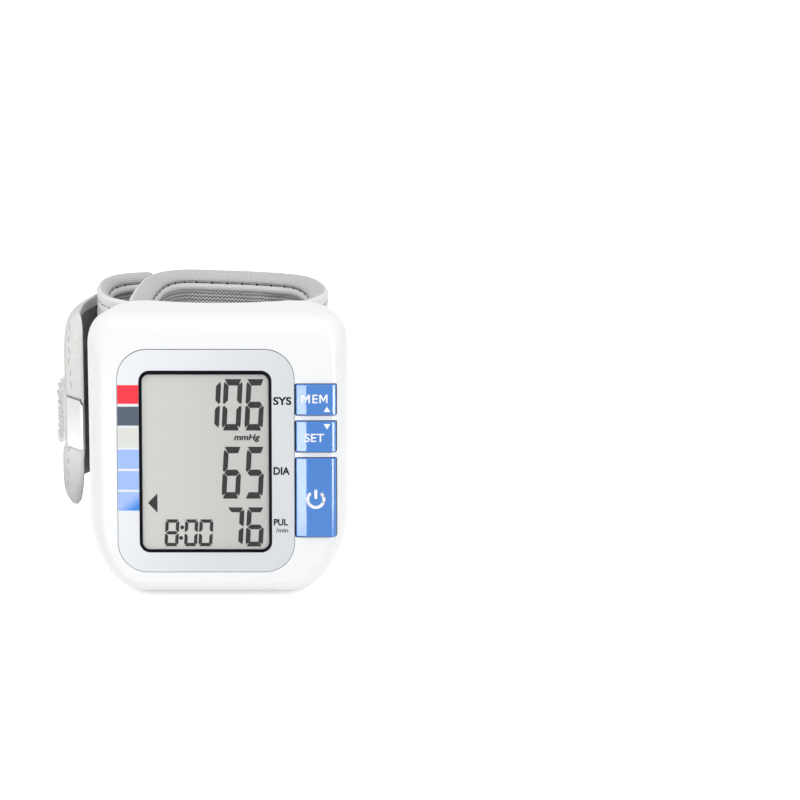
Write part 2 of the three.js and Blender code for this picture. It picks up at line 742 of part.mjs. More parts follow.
function makeMountPlate() {
  const centreY = WRIST_APEX_Y + WRIST_RADIUS;
  const outer = WRIST_RADIUS - GAP;
  const swing = Math.asin(MOUNT_PLATE.half / outer);
  const middle = -Math.PI / 2;
  const shape = new THREE.Shape();
  shape.absarc(0, centreY, outer, middle - swing, middle + swing);
  shape.absarc(0, centreY, outer - MOUNT_PLATE.thick, middle + swing, middle - swing, true);
  const { z0, z1 } = MOUNT_PLATE;
  const depth = z1 - z0;
  const plate = new THREE.ExtrudeGeometry(shape, { depth, bevelEnabled: false, curveSegments: 8 });
  const hole = solid(rodAlongY(TUBE_RADIUS + GAP, NIPPLE_X, NIPPLE_Z, 0, BACK_Y));
  place("cuff_mount_plate", geometryOf(solid(plate.translate(0, 0, z0)).subtract(hole)), "nylon");
}

// The band is a sandwich: cover, stiffener, bladder and lining, with a binding on both edges.
// It is thick where the bladder lies and thin in the outer fold that carries the strap.
function makeBand() {
  const band = ribbon(BAND_ROUTE);
  const swell = (distance) => {
    const thinning = THREE.MathUtils.smoothstep(distance / band.length, THIN_FROM, THIN_TO);
    return THREE.MathUtils.lerp(1, THIN_HALF / BAND_HALF, thinning);
  };
  const step = band.length / BAND_STEPS;
  const spare = SPARE_STEPS * step;
  const low = BINDING_HEIGHT + GAP;
  const high = BAND_HEIGHT - BINDING_HEIGHT - GAP;
  const airHole = solid(rodAlongY(TUBE_RADIUS + GAP, NIPPLE_X, NIPPLE_Z, 0, BACK_Y));
  const layers = [
    { name: "cuff_cover", thick: COVER_THICK, finish: "cloth", short: 0, pierced: true },
    { name: "cuff_stiffener", thick: STIFFENER_THICK, finish: "nylon", short: spare, pierced: true },
    { name: "cuff_bladder", thick: BLADDER_THICK, finish: "silicone", short: spare, pierced: false },
    { name: "cuff_lining", thick: LINING_THICK, finish: "lining", short: 0, pierced: false },
  ];
  let outer = BAND_HALF;
  for (const { name, thick, finish, short, pierced } of layers) {
    const span = { from: short, to: band.length - short, low, high, step, swell };
    const sheet = strip(band, { ...span, inner: outer - thick, outer });
    place(name, pierced ? geometryOf(solid(sheet).subtract(airHole)) : sheet, finish);
    outer -= thick + GAP;
  }
  const edge = { from: 0, to: band.length, inner: -BAND_HALF, outer: BAND_HALF, step, swell };
  const bindings = [
    ["cuff_binding_top", BAND_HEIGHT - BINDING_HEIGHT],
    ["cuff_binding_bottom", 0],
  ];
  for (const [name, base] of bindings) {
    place(name, strip(band, { ...edge, low: base, high: base + BINDING_HEIGHT }), "binding");
  }
}

function makeStrap() {
  const [low, high] = STRAP_Z;
  const strap = ribbon(STRAP_ROUTE);
  const strapSpan = { from: 0, to: strap.length, inner: -STRAP_HALF, outer: STRAP_HALF };
  place("closure_strap", strip(strap, { ...strapSpan, low, high, step: FOLD_STEP }), "cloth");

  const width = Math.hypot(RING_RIGHT[0] - RING_LEFT[0], RING_RIGHT[1] - RING_LEFT[1]);
  const middle = (low + high) / 2;
  const bar = RING_BAR / 2;
  const frame = {
    x0: -bar,
    v0: middle - RING_HEIGHT / 2,
    x1: width + bar,
    v1: middle + RING_HEIGHT / 2,
    corner: RING_CORNER,
  };
  const ring = ringSlab(roundRect(frame), roundRect(frame, -RING_BAR), -bar, bar);
  ring.rotateZ(Math.atan2(RING_RIGHT[1] - RING_LEFT[1], RING_RIGHT[0] - RING_LEFT[0]));
  place("cinch_ring", ring.translate(RING_LEFT[0], RING_LEFT[1], 0), "steel");
  const tab = ribbon(TAB_ROUTE);
  const tabSpan = { from: 0, to: tab.length, inner: -TAB_HALF, outer: TAB_HALF };
  place("ring_tab", strip(tab, { ...tabSpan, low, high, step: FOLD_STEP }), "cloth");
}

// The free end of the strap swings about an upright line at the far left fold.
function makeTail() {
  const heights = TAIL_EDGE.map(([, z]) => z);
  const low = Math.min(...heights);
  const high = Math.max(...heights);
  const tail = ribbon(TAIL_ROUTE);
  const end = tail.length;
  const sheet = strip(tail, { from: 0, to: end, inner: -TAIL_HALF, outer: TAIL_HALF, low, high });
  const fold = postAlongZ(TAIL_HALF, ...TAIL_PIVOT, low, high, 12);
  const tipY = Math.min(tail.side(end, -TAIL_HALF).y, tail.side(end, TAIL_HALF).y);
  const outline = new THREE.Shape(TAIL_EDGE.map(([back, z]) => new THREE.Vector2(tipY + back, z)));
  const profile = solid(slab(outline, 0, BODY_WIDTH).rotateZ(Math.PI / 2));
  place("strap_tail", geometryOf(join(sheet, fold).intersect(profile)), "cloth");

  const room = TAIL_HALF + CLIP.gap;
  const rim = room + CLIP.thick;
  const clipForm = strip(tail, {
    from: end - CLIP.reach,
    to: end + CLIP.gap + CLIP.thick,
    inner: -rim,
    outer: rim,
    low: CLIP.z0,
    high: CLIP.z1,
  });
  const inside = { from: end - 2 * CLIP.reach, low: CLIP.z0 - 1, high: CLIP.z1 + 1 };
  const clipRoom = strip(tail, { ...inside, to: end + CLIP.gap, inner: -room, outer: room });
  const beyondLip = strip(tail, { ...inside, to: end - CLIP.lip, inner: 0, outer: rim + 1 });
  const clip = solid(clipForm).subtract(join(clipRoom, beyondLip));
  place("tail_clip", geometryOf(clip), "steel");

  const patch = strip(tail, {
    from: end - PATCH.to,
    to: end - PATCH.from,
    inner: -room - PATCH.thick,
    outer: -room,
    low: PATCH.z0,
    high: PATCH.z1,
  });
  place("hook_patch", patch, "fuzz");
}

makeFrontCasing();
makeRearCasing();
makeBatteryCover();
makeDisplay();
makeButtons();
makeBoardParts();
makeScrews();
makeBatteries();
makePump();
makeValve();
makeAirLines();
makeMountPlate();
makeBand();
makeStrap();
makeTail();

export default root;
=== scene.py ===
"""Dresses the wrist blood pressure monitor: moulded casing, display, keys, padded cuff and strap.

Lengths in the lists below are millimetres in the monitor's own frame: +Z up, +X to the right of
the display, +Y from the display to the wrist. Blender's objects are in metres.
"""
import math
import random
from bisect import bisect_right

import bmesh
import bpy
from bpy.props import FloatProperty, FloatVectorProperty, IntProperty, PointerProperty
from mathutils import Matrix, Vector, noise


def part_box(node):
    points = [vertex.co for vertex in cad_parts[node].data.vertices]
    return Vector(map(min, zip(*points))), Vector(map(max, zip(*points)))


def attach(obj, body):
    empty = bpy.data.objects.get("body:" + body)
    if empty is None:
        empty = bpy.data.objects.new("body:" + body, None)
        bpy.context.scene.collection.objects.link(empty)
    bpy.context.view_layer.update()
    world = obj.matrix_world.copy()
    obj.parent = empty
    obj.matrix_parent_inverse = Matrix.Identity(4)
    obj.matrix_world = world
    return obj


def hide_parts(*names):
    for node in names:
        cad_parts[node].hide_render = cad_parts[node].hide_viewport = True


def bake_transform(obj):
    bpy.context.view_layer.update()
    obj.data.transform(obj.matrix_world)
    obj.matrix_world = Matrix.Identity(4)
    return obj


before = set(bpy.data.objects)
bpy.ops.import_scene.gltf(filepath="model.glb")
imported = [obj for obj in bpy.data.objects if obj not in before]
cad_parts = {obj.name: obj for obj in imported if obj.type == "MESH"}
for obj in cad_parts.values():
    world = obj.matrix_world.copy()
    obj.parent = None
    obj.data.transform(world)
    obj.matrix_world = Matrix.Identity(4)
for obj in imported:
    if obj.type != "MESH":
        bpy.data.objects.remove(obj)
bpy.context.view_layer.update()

bl_info = {
    "name": "Wrist Blood Pressure Monitor",
    "version": (1, 0, 0),
    "blender": (4, 5, 0),
    "location": "3D View > Sidebar > Monitor",
    "description": "Builds the casing, display, keys, padded cuff and strap of a wrist monitor",
    "category": "Add Mesh",
}

MM = 0.001
SHARP_ANGLE = math.radians(38)
ARC_STEPS = 10
ROUND_STEPS = 12
BEAD_STEPS = 8
TOP_STEPS = 14
SHOULDER_STEPS = 6
SWELL_FRAMES = 20
FIBRE_SEED = 11
# Depths behind the leaning face; a depth below nothing stands out of it
PLATE_FRONT = -0.15 * MM
PLATE_BACK = 1.0 * MM
FRAME_FRONT = -0.3 * MM
LENS_FRONT = 0.14 * MM
SEAT_DEPTH = 1.3 * MM
WINDOW_DEPTH = 4.0 * MM
KEY_WAY_DEPTH = 5.0 * MM
# How much tighter the dark frame's opening turns at its corners than its outside
OPENING_TIGHTER = 0.75 * MM
# Gaps between pieces that sit in each other
SEAT_PLAY = 0.12 * MM
LAP_PLAY = 0.08 * MM
DOOR_PLAY = 0.3 * MM
# Half the fine line between the casing's halves
PARTING_GAP = 0.02 * MM
# The battery door's left side, its thumb ridges' heights, and the points along a ridge
DOOR_LEFT = 27 * MM
RIDGE_ROWS = (44.5, 46.9, 49.3, 51.7)
RIDGE_SPINE = (-4, -3.4, -1, 1.4, 2)
# Slices in which a key and its legend are bent: the first one's place, and their width
SLICE_START = 0.6 * MM
SLICE_STEP = 0.22 * MM
# The cuff: where its cloth meets the bindings, and how far its stitches lie from its edges
CLOTH_EDGE = 3.0 * MM
STITCH_DROP = 2.68 * MM
# Where the band thins towards its outer fold, as shares of its length: from, and over
THIN_FROM = 0.48
THIN_OVER = 0.24

# Printed marks on the leaning face: left, low, right, high
PLATE_WORDS = {
    "SYS": (14.42, 50.06, 19.02, 52.13),
    "DIA": (14.42, 32.23, 18.55, 34.23),
    "PUL": (14.45, 19.23, 18.02, 20.95),
    "/min": (15.0, 17.45, 18.1, 18.6),
}
UNIT_WORD = ("mmHg", (4.4, 40.55, 11.05, 42.55))
KEY_WORDS = {
    "memory_button": [
        ("M", (21.53, 50.57, 23.75, 52.76)), ("E", (24.35, 50.57, 25.68, 52.76)),
        ("M", (26.1, 50.57, 28.19, 52.76)),
    ],
    "set_button": [("SET", (22.35, 40.66, 27.31, 42.81))],
}
KEY_ARROWS = {
    "memory_button": [(27.17, 48.34), (28.9, 48.34), (28.03, 49.72)],
    "set_button": [(27.17, 45.29), (28.03, 43.87), (28.9, 45.29)],
}
POWER_MARK = (25.15, 26.0)
KEY_ROWS = {
    "memory_button": (47.5, 55.35),
    "set_button": (38.1, 45.95),
    "power_button": (16.35, 36.55),
}
# Bars of the colour scale: their colour, low and high
SCALE_BARS = {
    "scale_red": ((252, 54, 72), 50.38, 55.13),
    "scale_slate": ((84, 98, 114), 44.82, 49.65),
    "scale_pale": ((226, 229, 223), 39.2, 44.25),
    "scale_blue_high": ((166, 196, 253), 33.8, 38.67),
    "scale_blue_mid": ((166, 196, 252), 28.4, 33.21),
    "scale_blue_low": ((172, 200, 254), 23.07, 27.86),
}

# Digits on the display: the digit, its lower left, its upper right, its upright stroke
DIGITS = [
    ("1", (-3.69, 43.5), (1.32, 56.6), 1.25),
    ("0", (1.28, 43.5), (6.77, 56.6), 1.25),
    ("6", (7.02, 43.5), (12.06, 56.6), 1.25),
    ("6", (1.14, 26.06), (6.19, 39.34), 1.25),
    ("5", (7.0, 26.06), (11.98, 39.34), 1.25),
    ("7", (2.1, 13.76), (7.04, 23.81), 1.2),
    ("6", (7.15, 13.76), (11.9, 23.81), 1.2),
    ("8", (-13.43, 13.84), (-9.52, 20.73), 0.85),
    ("0", (-8.44, 13.84), (-4.74, 20.73), 0.85),
    ("0", (-4.78, 13.84), (-0.88, 20.73), 0.85),
]
SEGMENTS = {
    "0": "abcdef", "1": "bc", "5": "acdfg", "6": "acdefg", "7": "abc", "8": "abcdefg",
}
COLON = [(-9.15, 15.97), (-8.85, 18.68)]
POINTER = [(-17.5, 24.95), (-15.1, 22.45), (-15.1, 27.45)]

# Floor-plan routes of the fabric
BAND_ROUTE = [
    (-21.6, 11), (-21, 18), (-20.1, 28), (-18.5, 37), (-15.5, 42.6), (-11.5, 44.8), (-3, 43.8),
    (6, 42), (14, 39.5), (19.6, 36.2), (23, 30), (25, 22), (24.6, 15), (21.2, 10.4), (16, 8),
    (10, 6.3), (0, 5.1), (-10, 6.3), (-16, 7.7), (-22, 8.3), (-26.2, 9.4), (-29.4, 13.6),
    (-31.3, 20), (-31.9, 28), (-31, 36.4), (-28, 41.6), (-23, 43.9), (-19.6, 44.5),
]
# How far the cuff's upper edge rises or sags: distance along the band, and lift
RIM_LIFT = [
    (0, -0.5), (12, 0.2), (30, 0.6), (72, 0.6), (92, 0.1), (103, -1.1), (138, -1.1), (149, -0.1),
    (160, 0.2), (192, 0.2),
]
STRAP_ROUTE = [
    (-26.5, 45.6), (-21.5, 47.2), (-16, 48.7), (-11, 48.8), (-2, 47.4), (5, 45.7), (8.2, 45),
    (10.75, 47.5), (8.2, 50), (4, 50.9), (-4, 52.1), (-12, 52.6), (-20, 51.6), (-27, 49.2),
    (-31.9, 46.3),
]
TAB_ROUTE = [
    (22.9, 37.5), (20.3, 40), (17.2, 42.1), (14.3, 42.8), (13.3, 45), (16.2, 47.2), (21.3, 43.1),
    (24.6, 39),
]
TAIL_ROUTE = [
    (-33.6, 45.2), (-36.1, 41.2), (-38.4, 33.6), (-39.4, 24), (-38.6, 16.8), (-36.3, 11.5),
]
RING_ENDS = ((8, 47.5), (16, 44.7))
# The tail's lower and upper edges: distance back from its tip, and height
TAIL_LOW = [
    (0, 25), (0.6, 21.4), (1.6, 18.6), (2.8, 16.4), (4.2, 15.4), (10, 20), (24, 18.4), (40, 17.4),
]
TAIL_HIGH = [(0, 63.2), (0.5, 64.7), (1.4, 65.9), (3, 66.5), (8, 66.9), (40, 67)]
# The clip's plate on the floor plan: its outer face's back and front end
CLIP_PLATE = ((-41.2, 16.5), (-37.3, 11.3))
# The sewn line down the tail: height, and distance back from the tip
TAIL_SEAM = [(15, 5.0), (31, 5.0), (46, 3.9), (62, 4.9), (70, 4.9)]
GROOVE_WIDTH = 0.5 * MM
GROOVE_DEPTH = 0.2 * MM
# Where the line is sewn, below and above the clip
TAIL_SEWN = [(20, 29), (46.8, 62.5)]
# The hook tape: how far back from the tip it starts and ends
TAPE_FRONT = 7.8 * MM
TAPE_BACK = 26 * MM


def clamp(value):
    """A share, kept between 0 and 1."""
    return min(max(value, 0), 1)


def smooth(share):
    """A share that is eased at both ends."""
    return share * share * (3 - 2 * share)


def rounded(share):
    """A quarter circle's height: steep from 0, and level at 1 and beyond."""
    return math.sqrt(1 - (1 - min(share, 1)) ** 2)


def full_turn(count):
    """Angles that are spaced evenly round a circle."""
    return [2 * math.pi * k / count for k in range(count)]


def dimmed(tone, share):
    """A share of a colour's light."""
    return tuple(level * share for level in tone)


def linear_colour(red, green, blue):
    """A colour as it looks, in levels of 255, as the linear values that Blender stores."""
    def linear(level):
        share = level / 255
        return share / 12.92 if share <= 0.04045 else ((share + 0.055) / 1.055) ** 2.4

    return linear(red), linear(green), linear(blue)


def length(name, description, millimetres):
    return FloatProperty(
        name=name, description=description, default=millimetres * MM, unit="LENGTH", precision=5
    )


def colour(name, description, *levels):
    return FloatVectorProperty(
        name=name, description=description, default=linear_colour(*levels), subtype="COLOR",
        min=0, max=1,
    )


class CasingSettings(bpy.types.PropertyGroup):
    """Sizes and colour of the moulded casing"""
    width: length("Width", "Across the casing", 66)
    height: length("Height", "From the base to the top", 72.3)
    front_across: length("Front Corner Across", "An upper corner's reach inwards in front", 6)
    front_up: length("Front Corner Up", "An upper corner's reach down in front", 8)
    back_across: length("Back Corner Across", "An upper corner's reach inwards at the back", 12)
    back_up: length("Back Corner Up", "An upper corner's reach down at the back", 10)
    base_across: length("Base Corner Across", "How far a lower corner reaches inwards", 14.5)
    base_up: length("Base Corner Up", "How far a lower corner reaches upwards", 21)
    front_y: length("Front", "Where the leaning face meets the base plane", -23)
    parting_y: length("Parting Plane", "Where the two halves meet", -9)
    back_y: length("Back", "The back of the casing's sides", 6.5)
    front_round: length("Front Rounding", "How far the face's rim rolls inwards", 4.5)
    back_round: length("Back Rounding", "Radius of the back's rim", 2.0)
    wall: length("Wall", "Thickness of the moulding", 2.2)
    wrist_radius: length("Wrist Radius", "Radius of the hollow in the back", 48)
    wrist_apex: length("Wrist Apex", "Deepest point of the hollow in the back", 1.5)
    lean: FloatProperty(
        name="Lean", description="How far the face leans back", default=math.radians(6),
        subtype="ANGLE",
    )
    tone: colour("Colour", "The white plastic", 246, 247, 248)


class DisplaySettings(bpy.types.PropertyGroup):
    """Sizes and colours of the faceplate and the display"""
    plate_corner: length("Plate Corner", "Radius of the faceplate's corners", 7.5)
    border_corner: length("Frame Corner", "Radius of the dark frame's corners", 2.6)
    border_side: length("Frame Sides", "Width of the dark frame's uprights", 0.68)
    border_top: length("Frame Top", "Width of the dark frame's upper bar", 0.92)
    border_base: length("Frame Base", "Width of the dark frame's lower bar", 0.65)
    drop: length("Drop", "How far the plate and the frame sit down in their seats", 0.3)
    glass_depth: length("Glass Depth", "How deep the display's glass lies behind the face", 0.42)
    print_height: length("Print Height", "How far printed marks stand up", 0.03)
    plate_tone: colour("Faceplate", "The pale silver plate", 232, 235, 239)
    border_tone: colour("Frame", "The dark frame round the display", 6, 9, 18)
    glass_tone: colour("Display", "The grey of the display", 211, 212, 208)
    segment_tone: colour("Segments", "The dark digits", 30, 27, 26)
    word_tone: colour("Words", "The printed words", 14, 16, 20)


class KeySettings(bpy.types.PropertyGroup):
    """Sizes and colours of the keys"""
    left: length("Left", "Left edge of the keys", 20.1)
    right: length("Right", "Right edge of the keys", 30.35)
    proud: length("Proud", "How far a key stands out of the face", 0.65)
    facet: length("Facet", "Width of the slope along a key's left edge", 2.95)
    slope: FloatProperty(
        name="Facet Slope", description="Slope of a key's left edge", default=math.radians(12),
        subtype="ANGLE",
    )
    depth: length("Depth", "How deep a key reaches behind the face", 2.9)
    edge: length("Edge", "Rounding of a key's edges", 0.25)
    tone: colour("Colour", "The blue plastic", 57, 127, 210)
    legend_tone: colour("Legend", "The printed legends", 250, 251, 252)


class CuffSettings(bpy.types.PropertyGroup):
    """Sizes and colours of the cuff"""
    height: length("Height", "Height of the band", 72)
    half: length("Half Thickness", "Half the band's thickness where the bladder lies", 2.3)
    thin_half: length("Thin Half", "Half the band's thickness in the outer fold", 1.3)
    skin: length("Skin", "Thickness of the cover and the lining", 0.8)
    stitch_pitch: length("Stitch Pitch", "From one stitch to the next", 4.25)
    stitch_length: length("Stitch Length", "Length of a stitch", 3.25)
    cover_tone: colour("Cover", "The smooth outer cloth", 226, 226, 227)
    binding_tone: colour("Binding", "The knitted edge", 227, 227, 227)
    # Painted light: the edge cloth is the cover's plain cloth made paler, so that the shaded
    # rolled edges read as lit.
    lit_edge_tone: colour("Edge Cloth", "The cloth that the edge is rolled in", 250, 250, 250)
    lining_tone: colour("Lining", "The mesh inside", 236, 237, 238)
    lining_dark: colour("Lining Shade", "The dark lines of the mesh inside", 112, 113, 116)
    thread_tone: colour("Thread", "The stitches", 122, 123, 125)


class StrapSettings(bpy.types.PropertyGroup):
    """Sizes and colours of the strap, its ring and its tail"""
    low: length("Low Edge", "Lower edge of the strap", 19)
    high: length("High Edge", "Upper edge of the strap", 66.6)
    half: length("Half Thickness", "Half the strap's thickness", 0.7)
    tab_half: length("Tab Half", "Half the thickness of the ring's tab", 0.5)
    tail_outer: length("Tail Padding", "How far the tail's outside bulges", 2.8)
    tail_inner: length("Tail Backing", "How far the tail's inside bulges", 1.0)
    tail_lean: length("Tail Lean", "How far the tail's upper edge leans to the inside", 2.0)
    tail_flare: length("Tail Flare", "How far the tail's foot stands out below the clip", 0.8)
    clip_sheet: length("Clip Sheet", "Thickness of the clip's sheet", 0.4)
    ring_bar: length("Ring Bar", "Diameter of the ring's wire", 2.2)
    fibres: IntProperty(
        name="Fibres", description="How many looped fibres the patch carries", default=900, min=0
    )
    cloth_tone: colour("Cloth", "The outer face of the strap", 242, 241, 239)
    shade_tone: colour("Underside", "The brushed inner face of the strap", 100, 98, 97)
    fuzz_tone: colour("Hook Tape", "The fuzzy patch", 250, 250, 249)
    clip_tone: colour("Clip", "The pressed sheet clip", 226, 226, 225)


class StageSettings(bpy.types.PropertyGroup):
    """Camera, floor and lights"""
    camera: FloatVectorProperty(
        name="Camera", description="Where the camera stands", subtype="TRANSLATION",
        default=(46.5 * MM, -872.2 * MM, 245.2 * MM),
    )
    pitch: FloatProperty(
        name="Pitch", description="How far the camera looks down", subtype="ANGLE",
        default=math.radians(12.8),
    )
    lens: FloatProperty(
        name="Lens", description="Focal length in millimetres", default=155.9, min=1
    )
    floor_tone: colour("Floor", "The floor and the backdrop", 250, 250, 250)
    floor_lift: FloatProperty(
        name="Floor Lift", description="White added to the floor in the picture", default=0.55
    )
    sky: FloatProperty(name="Sky", description="Strength of the light all round", default=0.56)
    left: FloatProperty(name="Left", description="Power of the softbox on the left", default=0.6)
    front: FloatProperty(name="Front", description="Power of the softbox in front", default=0.2)
    fill: FloatProperty(name="Fill", description="Power of the strip on the right", default=0.85)
    top: FloatProperty(name="Top", description="Power of the overhead softbox", default=1.6)
    gloss: FloatProperty(
        name="Gloss", description="Power of the two cards that the keys reflect", default=0.07
    )


class Nodes:
    """A node tree in the making."""

    def __init__(self, tree):
        self.nodes = tree.nodes
        self.links = tree.links

    def add(self, kind, inputs, **settings):
        """A node with its settings, and its inputs as numbers or as other nodes' outputs."""
        node = self.nodes.new(kind)
        for name, value in settings.items():
            setattr(node, name, value)
        for name, value in inputs.items():
            if isinstance(value, bpy.types.NodeSocket):
                self.links.new(value, node.inputs[name])
            else:
                node.inputs[name].default_value = value
        return node

    def maths(self, operation, first, second=0.0):
        return self.add("ShaderNodeMath", {0: first, 1: second}, operation=operation).outputs[0]

    def seen(self):
        """1 where the camera, a mirror or glass looks at a surface, and 0 for plain light."""
        path = self.add("ShaderNodeLightPath", {}).outputs
        direct = self.maths("MAXIMUM", path["Is Camera Ray"], path["Is Glossy Ray"])
        return self.maths("MAXIMUM", direct, path["Is Transmission Ray"])


class Finish(Nodes):
    """A node material in the making."""

    def __init__(self, name, tone, roughness, **sockets):
        self.material = bpy.data.materials.new(name)
        self.material.use_nodes = True
        super().__init__(self.material.node_tree)
        self.shader = self.nodes["Principled BSDF"]
        self.tone = tuple(tone)
        self.set("Base Color", (*self.tone, 1))
        self.set("Roughness", roughness)
        for socket, value in sockets.items():
            self.set(socket.replace("_", " ").title().replace("Ior", "IOR"), value)

    def set(self, socket, value):
        self.shader.inputs[socket].default_value = value

    def feed(self, name, socket):
        """Links a node's output to one of the shader's inputs."""
        self.links.new(socket, self.shader.inputs[name])

    def here(self):
        """The place on the piece, in metres."""
        return self.add("ShaderNodeTexCoord", {}).outputs["Object"]

    def cloth_place(self):
        """The place on a swept piece: metres along it, and metres round its section."""
        return self.add("ShaderNodeTexCoord", {}).outputs["UV"]

    def axes(self, place):
        return self.add("ShaderNodeSeparateXYZ", {0: place}).outputs

    def noise(self, scale, detail=3.0, place=None):
        inputs = {"Vector": place or self.here(), "Scale": scale, "Detail": detail}
        return self.add("ShaderNodeTexNoise", inputs).outputs[0]

    def spread(self, share, low, high):
        inputs = {"Value": share, "To Min": low, "To Max": high}
        return self.add("ShaderNodeMapRange", inputs).outputs[0]

    def step(self, value, start, end):
        """0 before start, 1 after end, smooth between."""
        inputs = {"Value": value, "From Min": start, "From Max": end}
        node = self.add("ShaderNodeMapRange", inputs, interpolation_type="SMOOTHSTEP")
        return node.outputs[0]

    def mix(self, share, first, second):
        """A colour between two others, which are colours or nodes' outputs."""
        def ready(value):
            return value if isinstance(value, bpy.types.NodeSocket) else (*value, 1)

        inputs = {0: share, 6: ready(first), 7: ready(second)}
        return self.add("ShaderNodeMix", inputs, data_type="RGBA").outputs[2]

    def multiply(self, first, second):
        """One colour darkened by another, both nodes' outputs."""
        inputs = {0: 1.0, 6: first, 7: second}
        node = self.add("ShaderNodeMix", inputs, data_type="RGBA", blend_type="MULTIPLY")
        return node.outputs[2]

    def paint(self, socket):
        self.feed("Base Color", socket)

    def mottle(self, amount, scale):
        """Breaks a flat colour up a little."""
        bright = tuple(min(1, level) for level in dimmed(self.tone, 1 + amount))
        self.paint(self.mix(self.noise(scale), dimmed(self.tone, 1 - amount), bright))

    def wear(self, low, high, scale):
        """Lets the gloss vary over the surface."""
        self.feed("Roughness", self.spread(self.noise(scale), low, high))

    def bump(self, height, depth):
        inputs = {"Height": height, "Distance": depth, "Strength": 1.0}
        self.feed("Normal", self.add("ShaderNodeBump", inputs).outputs[0])

    def ribs(self, value, pitch):
        """A smooth ridge in every pitch of a length."""
        wave = self.maths("SINE", self.maths("MULTIPLY", value, 2 * math.pi / pitch))
        return self.add("ShaderNodeMapRange", {"Value": wave, "From Min": -1.0}).outputs[0]


def moulded(name, tone, roughness=0.32, grain=0.0000006):
    """Moulded plastic with a faint orange-peel grain."""
    finish = Finish(name, tone, roughness, specular_ior_level=0.4)
    finish.mottle(0.002, 300)
    finish.wear(roughness - 0.02, roughness + 0.02, 1200)
    finish.bump(finish.noise(3000, 2), grain)
    return finish.material


def metal(name, tone, roughness):
    """Bright metal, brushed across its height."""
    finish = Finish(name, tone, roughness, metallic=1.0)
    place = finish.add("ShaderNodeMapping", {"Vector": finish.here(), "Scale": (1, 1, 14)})
    scratches = finish.noise(900, 4, place.outputs[0])
    finish.mottle(0.06, 90)
    finish.feed("Roughness", finish.spread(scratches, roughness - 0.08, roughness + 0.1))
    finish.bump(scratches, 0.000012)
    return finish.material


def plain_cloth(name, tone, thread=0.00042, depth=0.00006):
    """A smooth woven cloth: crossing threads, with a soft sheen."""
    finish = Finish(name, tone, 0.85, sheen_weight=0.25, sheen_roughness=0.4)
    along, round_section, _ = finish.axes(finish.cloth_place())
    warp = finish.ribs(along, thread)
    weft = finish.ribs(round_section, thread)
    weave = finish.maths("MULTIPLY", warp, weft)
    shade = finish.mix(weave, dimmed(finish.tone, 0.9), finish.tone)
    patches = finish.mix(finish.noise(140), (0.93, 0.93, 0.93), (1, 1, 1))
    finish.paint(finish.multiply(shade, patches))
    finish.bump(weave, depth)
    return finish.material


def knitted_binding(name, tone):
    """The edge tape: fine ribs across it, crossed by rows of knitting."""
    finish = Finish(name, tone, 0.88, sheen_weight=0.3, sheen_roughness=0.45)
    along, round_section, _ = finish.axes(finish.cloth_place())
    skew = finish.maths("ADD", along, finish.maths("MULTIPLY", round_section, 0.3))
    rows = finish.ribs(round_section, 0.00055)
    knit = finish.maths("MULTIPLY", finish.ribs(skew, 0.00062), rows)
    finish.paint(finish.mix(finish.step(knit, 0.0, 0.6), dimmed(finish.tone, 0.7), finish.tone))
    finish.bump(knit, 0.00012)
    return finish.material


def zigzag_mesh(name, tone, shade):
    """The lining: dark zigzag lines on a pale knit."""
    finish = Finish(name, tone, 0.9, sheen_weight=0.2, sheen_roughness=0.5)
    along, up, _ = finish.axes(finish.cloth_place())
    swing = finish.maths("PINGPONG", along, 0.0005)
    line = finish.ribs(finish.maths("ADD", up, finish.maths("MULTIPLY", swing, 1.15)), 0.00092)
    patches = finish.spread(finish.noise(220), -0.12, 0.12)
    share = finish.step(finish.maths("ADD", line, patches), 0.2, 0.6)
    finish.paint(finish.mix(share, shade, tone))
    finish.bump(line, 0.0002)
    return finish.material


def make_object(name, bm, materials):
    """An object of a bmesh, with smooth faces and crisp edges."""
    mesh = bpy.data.meshes.new(name)
    bm.to_mesh(mesh)
    bm.free()
    for material in materials:
        mesh.materials.append(material)
    obj = bpy.data.objects.new(name, mesh)
    bpy.context.scene.collection.objects.link(obj)
    soften(obj)
    return obj


def soften(obj):
    obj.data.shade_smooth()
    obj.data.set_sharp_from_angle(angle=SHARP_ANGLE)


def mount(obj, body, slot, *nodes):
    """Hangs a piece on a body and hides the nodes that it stands for; slot is not used."""
    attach(obj, body)
    if nodes:
        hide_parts(*nodes)
    return obj


def face_outwards(bm):
    bmesh.ops.recalc_face_normals(bm, faces=bm.faces)
    return bm


def close_up(bm, gap=1e-6):
    """Joins points that meet, and turns the faces outwards."""
    bmesh.ops.remove_doubles(bm, verts=bm.verts, dist=gap)
    return face_outwards(bm)


def loft(bm, rings, cyclic=False):
    """Skins rings of points that have as many points each, with flat ends unless they close."""
    made = [[bm.verts.new(point) for point in ring] for ring in rings]
    count = len(made[0])
    pairs = list(zip(made, made[1:]))
    if cyclic:
        pairs.append((made[-1], made[0]))
    for first, second in pairs:
        for i in range(count):
            j = (i + 1) % count
            bm.faces.new((first[i], first[j], second[j], second[i]))
    if not cyclic:
        bm.faces.new(made[0])
        bm.faces.new(made[-1])


def skinned(rings, cyclic=False):
    """A closed mesh over rings of points."""
    bm = bmesh.new()
    loft(bm, rings, cyclic)
    return close_up(bm)


def in_metres(points):
    return [(x * MM, v * MM) for x, v in points]


def arc(centre, radii, start, steps=ARC_STEPS):
    """A quarter turn from an angle in degrees."""
    points = []
    for k in range(steps + 1):
        angle = math.radians(start + 90 * k / steps)
        points.append((
            centre[0] + radii[0] * math.cos(angle), centre[1] + radii[1] * math.sin(angle),
        ))
    return points


